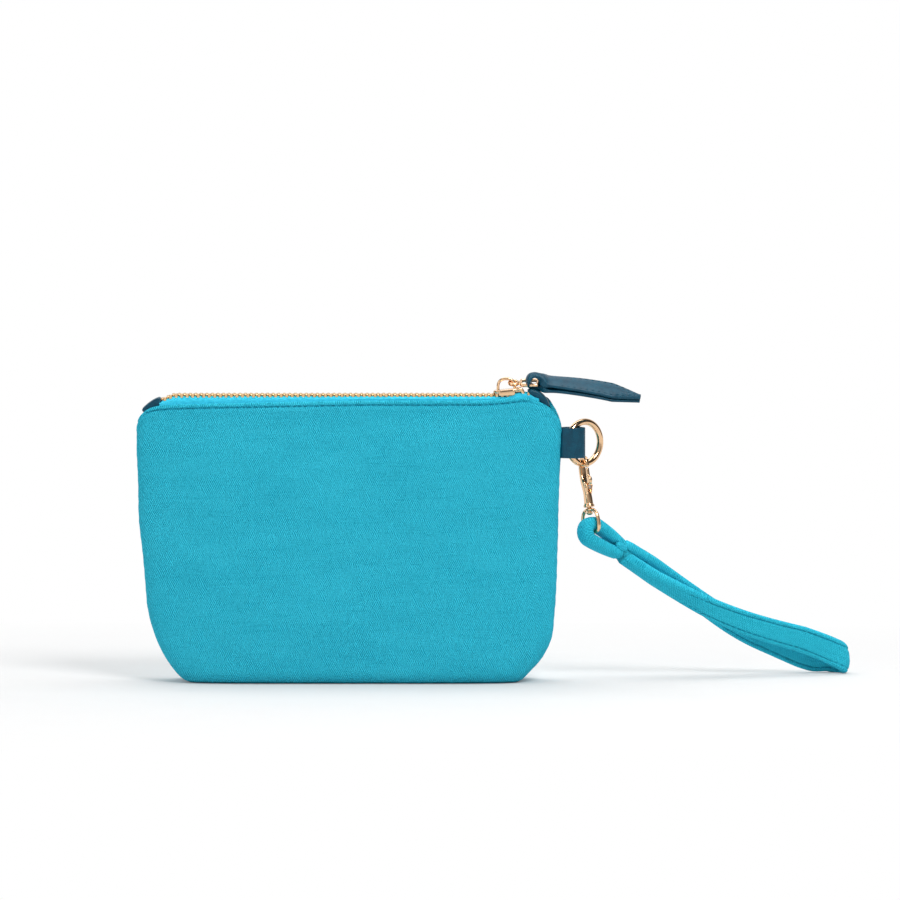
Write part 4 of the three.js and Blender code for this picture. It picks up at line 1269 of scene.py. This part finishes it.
# The swivelling eye: one round wire bent into a loop, flattened to a boss where the rivet passes.
def makeEye():
    radius = eye["wire"] / 2
    half = eye["halfWidth"] - radius
    top = -eyeTop - eye["topBar"] / 2
    low = -eyeBar
    right = [(0, top), (1.8, top), (3.6, top - 0.7), (5, top - 2.4), (half, top - 5), (half, low + 2.6),
             (half - 0.8, low + 0.8), (half - 2.6, low), (0, low)]
    outline = right + [(-x, z) for x, z in right[-2:0:-1]]
    path = curveThrough(outline + outline[:1], 121)[:-1]
    boss = bell(path[:, 0], 1.9) * (path[:, 1] > top - 1)
    wide = mix(radius + 0.1, 2.2, boss)
    sections = wireSection(1, 4)[None] * np.stack([wide, np.full(len(path), radius)], axis=1)[:, None]
    part = sweptPart(upright(path), (0, 1, 0), sections, True)
    makePiece("eye_loop", [part], gold, "eye", "swivel_eye", place=hookPlace)


makeHook()
makeGate()
makePinAndSpring()
makeEye()
print("hook and eye made")

smallLoop = {  # the loop that is sewn round the eye's lower bar
    "slope": 29.7,
    "length": 20.5,
    "thickness": 4.7,
    "width": 9,
    "pinchThickness": 4.2,  # where its arms are sewn together
    "pinchWidth": 7.6,
    "puff": (1.5, 2, 3.8),  # half sizes of the cloth that puffs out there
    "swell": (0.8, 0.4),  # of the padding, round the bar and at the pinch
    "crease": 0.22,
}
handLoop = {
    "thickness": 3.2,
    "width": 13.2,
    "run": 103.5,  # from the pinch to the far end, to the right
    "back": 23,
    "bow": 9,
    "rest": 8.72,  # the far end's height
    "sag": 6.8,
    "sagPower": 1.3,
    "layerGap": 7,
    "turns": (-80, 45),  # how the layers lie to each other at the pinch and at the far end
    "turnFall": (20, 0.85),  # how far they turn back, and from which share on
    "lowerDrops": (1.8, 2.6),  # how far the lower layer hangs, early and late
    "foldBulge": 1.8,
    "swell": (0.9, 0.25),  # of the padding, at the pinch and past the middle
    "groove": 0.4,
    "crease": 0.3,
    "stitchesFrom": 0.3,
}
pinchBulk = smallLoop["pinchThickness"] + 0.6
slope = math.radians(smallLoop["slope"])
strapSeat = hookSeat + hookDown * eyeBar
strapRun = ringTurn * math.cos(slope) + hookDown * math.sin(slope)
strapUp = ringTurn * math.sin(slope) - hookDown * math.cos(slope)


# A band's crowned sections, with a stitched groove near each edge and creases along it.
def bandSections(widths, thicks, swells, grooves, creases):
    made = []
    for width, thick, swell, groove, crease in zip(widths, thicks, swells, grooves, creases):
        points = oblong(width / 2, thick / 2, 0.46 * min(thick, width), 5, 24)
        share = np.abs(points[:, 0]) / (width / 2)
        rise = swell * (1 - share ** 2) - groove * bell(share * width / 2 - width / 2 + stitches["edge"], 0.5)
        rise = rise + crease * np.cos(points[:, 0] * 2 * math.pi / 2.1 + 1.2)
        made.append(np.column_stack([points[:, 0], points[:, 1] + np.sign(points[:, 1]) * rise]))
    return np.array(made)


# The small loop: an arm, the bend round the eye's bar and the other arm, without a groove.
def smallLoopPart():
    thick = smallLoop["thickness"]
    wide = smallLoop["width"]
    pinchThick = smallLoop["pinchThickness"]
    bend = math.hypot(eye["wire"] / 2, eye["halfThickness"]) + 0.3 + thick / 2
    straight = smallLoop["length"] - 2

    def arm(side, share):
        offset = mix(bend, pinchThick / 2 + 0.2, share ** 2)
        point = strapSeat + strapRun * straight * share + strapUp * side * offset
        return point, mix(wide, smallLoop["pinchWidth"], share), mix(thick, pinchThick, share)

    shares = np.linspace(0.05, 1, 14)
    stations = [arm(1, share) for share in shares[::-1]]
    for turn in np.radians(np.linspace(90, 270, 17)):
        point = strapSeat + strapRun * bend * math.cos(turn) + strapUp * bend * math.sin(turn)
        stations.append((point, wide, thick))
    stations += [arm(-1, share) for share in shares]
    path, widths, thicks = (np.array(column) for column in zip(*stations))
    ends = stepsFromEnd(len(path))
    swells = mix(*smallLoop["swell"], np.exp(-ends / 4))
    sections = bandSections(widths, thicks, swells, ends * 0, smallLoop["crease"] * np.exp(-ends / 3.5))
    points, faces, cut = sweptPart(path, barSide, sections)
    return points, faces, cut * [1, 1, 0] + [0, 0, awayFromStitches]


# The cloth that puffs out between the arms where they are sewn together.
def pinchPuffPart():
    points, faces, _ = turnedPart(arcPoints((0, 0), 1, -80, 80, 13), 20)
    middle = strapSeat + strapRun * (smallLoop["length"] - 3.6)
    puff = Place(middle + barSide * (smallLoop["pinchWidth"] / 2 - 0.5), barSide, strapUp, strapRun)
    sized = points * smallLoop["puff"]
    return puff.at(sized), faces, sized * [1, 1, 0] + [0, 0, awayFromStitches]


# The middle line of the hand loop, from the pinch to the far end.
def loopMiddle(share):
    start = strapSeat + strapRun * (smallLoop["length"] - 1)
    sag = handLoop["sag"] * math.sin(math.pi * clamp(share)) ** handLoop["sagPower"]
    back = handLoop["back"] * share + handLoop["bow"] * (share * (1 - share))
    drop = start[2] - handLoop["rest"]
    return start + [handLoop["run"] * share, back, -drop * share - sag]


# One layer of the hand loop: its middle, the way that its width runs, its width and its thickness.
def loopLayer(side, share):
    turnBack, backStart = handLoop["turnFall"]
    fall = turnBack * clamp((share - backStart) / (1 - backStart))
    turn = math.radians(mix(*handLoop["turns"], math.sqrt(share)) - fall)
    farSpread = (handLoop["thickness"] + handLoop["layerGap"]) / 2
    spread = mix(pinchBulk / 2 + 0.2, farSpread, clamp(share / 0.16))
    point = loopMiddle(share) + side * spread * np.array([0, -math.cos(turn), math.sin(turn)])
    if side < 0:  # the lower layer hangs between its ends
        drop = mix(*handLoop["lowerDrops"], smooth((share - 0.7) / 0.2))
        point[2] -= drop * smooth((share - 0.25) / 0.4) * (1 - smooth((share - 0.9) / 0.1))
    face = math.radians(mix(-90, 0, clamp(share / 0.65) ** 0.7))
    widthways = np.array([0.5 * (1 - share), math.sin(face), math.cos(face)])
    width = mix(smallLoop["pinchWidth"], handLoop["width"], share ** 0.6)
    return point, widthways, width, mix(pinchBulk, handLoop["thickness"], clamp(2 * share))


# The hand loop: the upper layer, the fold at the far end and the lower layer, back to the pinch.
def handLoopPart():
    shares = np.linspace(0.02, 1, 60)
    stations = [loopLayer(1, share) for share in shares]
    end = loopMiddle(1)
    run = unit(end - loopMiddle(0.97))
    out = stations[-1][0] - end
    last = stations[-1][1:]
    turns = np.radians(np.linspace(0, 180, 15)[1:-1])
    for turn in turns:
        point = end + out * math.cos(turn) + run * np.linalg.norm(out) * math.sin(turn)
        stations.append((point, *last))
    stations += [loopLayer(-1, share) for share in shares[::-1]]
    stations.append((loopMiddle(-0.01), *loopLayer(-1, 0)[1:]))
    path, widthways, widths, thicks = (np.array(column) for column in zip(*stations))
    along = np.concatenate([shares, np.ones(len(turns)), shares[::-1], [0]])
    swells = mix(*handLoop["swell"], smooth(along / 0.5))
    grooves = handLoop["groove"] * smooth((along - 0.22) / 0.12)
    creases = handLoop["crease"] * np.exp(-along / 0.05)
    sections = bandSections(widths, thicks, swells, grooves, creases)
    points, faces, cut = sweptPart(path, widthways, sections, True)
    stitched = smooth((along - 0.26) / 0.15)
    fromEdge = widths[:, None] / 2 - np.abs(cut[..., 1])
    cut[..., 2] = fromEdge + awayFromStitches * (1 - stitched[:, None])
    fold = slice(len(shares), len(shares) + len(turns))
    bulge = 1 - (cut[fold, :, 1] / (handLoop["width"] / 2)) ** 2
    bulge = handLoop["foldBulge"] * np.sin(turns)[:, None] * bulge
    points[fold] += bulge[..., None] * run
    points[..., 2] = np.maximum(points[..., 2], 0.1)  # the far end rests flat on the floor
    return points, faces, cut


# Dashes of thread near both edges of the hand loop's layers, on both their faces.
def loopStitchParts():
    parts = []
    for side in (-1, 1):
        stations = [loopLayer(side, share) for share in np.linspace(handLoop["stitchesFrom"], 1, 60)]
        path, widthways, widths, thicks = (np.array(column) for column in zip(*stations))
        along, across = crossways(path, widthways)
        for edge in (-1, 1):
            for face in (-1, 1):
                reach = edge * (widths / 2 - stitches["edge"])
                lift = face * (thicks / 2 - 0.2)
                line = path + along * reach[:, None] + across * lift[:, None]
                parts += stitchParts(line, across * face)
    return parts


# The bar of close stitches that holds the two arms of the small loop together.
def barTackParts():
    middle = strapSeat + strapRun * (smallLoop["length"] - 3.4)
    parts = []
    for step in np.linspace(-1.6, 1.6, 5):
        turns = np.radians(np.linspace(-75, 75, 15))
        reach = barSide * (smallLoop["pinchWidth"] / 2 + 0.95 - 0.08 * step * step)
        start = middle + strapRun * step
        path = [start + reach * math.cos(turn) + strapUp * 2.6 * math.sin(turn) for turn in turns]
        parts.append(sweptPart(path, strapRun, wireSection(0.22, 3)))
    return parts


def makeStrap():
    parts = [smallLoopPart(), handLoopPart(), pinchPuffPart()]
    band = makePiece("strap_band", parts, strapCloth, "strap", "wrist_strap", sharpAt=60)
    makePiece("strap_stitch", loopStitchParts(), clothThread, "strap")
    makePiece("bar_tack", barTackParts(), tackThread, "strap")


makeStrap()
print("strap made")

view = {
    "distance": 4000,
    "rise": 4.5,  # degrees above level
    "pixel": 0.478,  # millimetres that one pixel of the photograph spans
    "photoWidth": 900,
    "sensor": 36,
    "target": (48.76, -15, 112.4),
}
lamps = {  # places and sizes in metres, powers in watts
    "key_light": {"place": (0.6, -1.0, 1.3), "size": (0.6, 0.6), "power": 16.2},
    "fill_light": {"place": (-1.2, -0.9, 0.8), "size": (0.7, 1.0), "power": 5},
    "top_light": {"place": (0.1, 0.2, 1.2), "size": (1.2, 0.6), "power": 9},
}
lampAim = (40, 0, 60)
floor = {
    "half": 30000,
    "tones": ((0.69, 0.69, 0.69, 1), (0.71, 0.71, 0.71, 1)),
    "fade": (0.08, 0.3),  # metres from the pouch's middle over which it turns white
    "whiteNear": 0.12,  # the share of white near the pouch
}


def stage(name, data):
    made = bpy.data.objects.new(name, data)
    bpy.context.scene.collection.objects.link(made)
    return made


def makeCamera():
    rise = math.radians(view["rise"])
    data = bpy.data.cameras.new("photo_camera")
    data.sensor_width = view["sensor"]
    data.lens = view["sensor"] * view["distance"] / (view["pixel"] * view["photoWidth"])
    data.clip_start = 0.05
    data.clip_end = 100
    camera = stage("photo_camera", data)
    away = np.array([0, -math.cos(rise), math.sin(rise)])
    camera.location = (np.array(view["target"]) + away * view["distance"]) * mm
    camera.rotation_euler = (math.pi / 2 - rise, 0, 0)
    bpy.context.scene.camera = camera


def makeLight(name, place, size, power):
    data = bpy.data.lights.new(name, "AREA")
    data.shape = "RECTANGLE"
    data.size, data.size_y = size
    data.energy = power
    lamp = stage(name, data)
    lamp.location = place
    way = np.array(place) - np.array(lampAim) * mm
    flat = math.hypot(way[0], way[1])
    lamp.rotation_euler = (math.atan2(flat, way[2]), 0, math.atan2(way[0], -way[1]))


# A white floor that takes soft shadows near the pouch and fades into the white around it.
def makeFloor():
    paint = Paint("floor")
    place = paint.add("ShaderNodeNewGeometry")
    wide = paint.stretched(place, (0.5, 1, 1))
    far = paint.add("ShaderNodeVectorMath", {"operation": "LENGTH"}, {0: wide}, 1)
    seen = paint.ray("Camera").calc("MAXIMUM", paint.ray("Glossy")).calc("MAXIMUM", paint.ray("Transmission"))
    share = paint.ramp(far, *floor["fade"]).calc("MAXIMUM", floor["whiteNear"]) * seen
    tone = paint.blendOf(paint.noise(place, 40.0), *floor["tones"])
    paint.surface({"Base Color": tone, "Roughness": 0.8, "Specular IOR Level": 0.1})
    glow = paint.add("ShaderNodeEmission", None, {"Color": (1, 1, 1, 1), "Strength": 1.0})
    inputs = {0: share, 1: Value(paint, paint.shader.outputs[0]), 2: glow}
    paint.end(paint.add("ShaderNodeMixShader", None, inputs), "Material Output")
    half = floor["half"]
    corners = [(x * half, y * half, 0) for x, y in ((-1, -1), (1, -1), (1, 1), (-1, 1))]
    meshOf("floor", corners, [[0, 1, 2, 3]], paint.material)


# White for the camera. What lights the pouch is a room that is white behind it and dark behind the camera,
# and metal sees that white too, with a dark band between it and the lit front of the room.
def makeWorld():
    world = bpy.data.worlds.new("studio")
    world.use_nodes = True
    bpy.context.scene.world = world
    room = Nodes(world.node_tree)
    depth = room.axis(room.add("ShaderNodeTexCoord"), "Y")
    lit = room.ramp(depth, -0.55, 0.25) * 0.66 + 0.1
    shine = room.ramp(depth * -1, 0.4, 0.8) * 0.5 + room.ramp(depth, 0.4, 0.8) * 0.94 + 0.05
    tone = lit + room.ray("Glossy") * (shine - lit)
    seen = room.ray("Camera").calc("MAXIMUM", room.ray("Transmission"))
    light = room.add("ShaderNodeBackground", None, {"Color": tone + seen * (1 - tone), "Strength": 1.0})
    room.end(light, "World Output")


makeCamera()
makeFloor()
makeWorld()
for lampName, lamp in lamps.items():
    makeLight(lampName, **lamp)
bpy.context.scene.view_settings.view_transform = "Standard"
print("stage made")
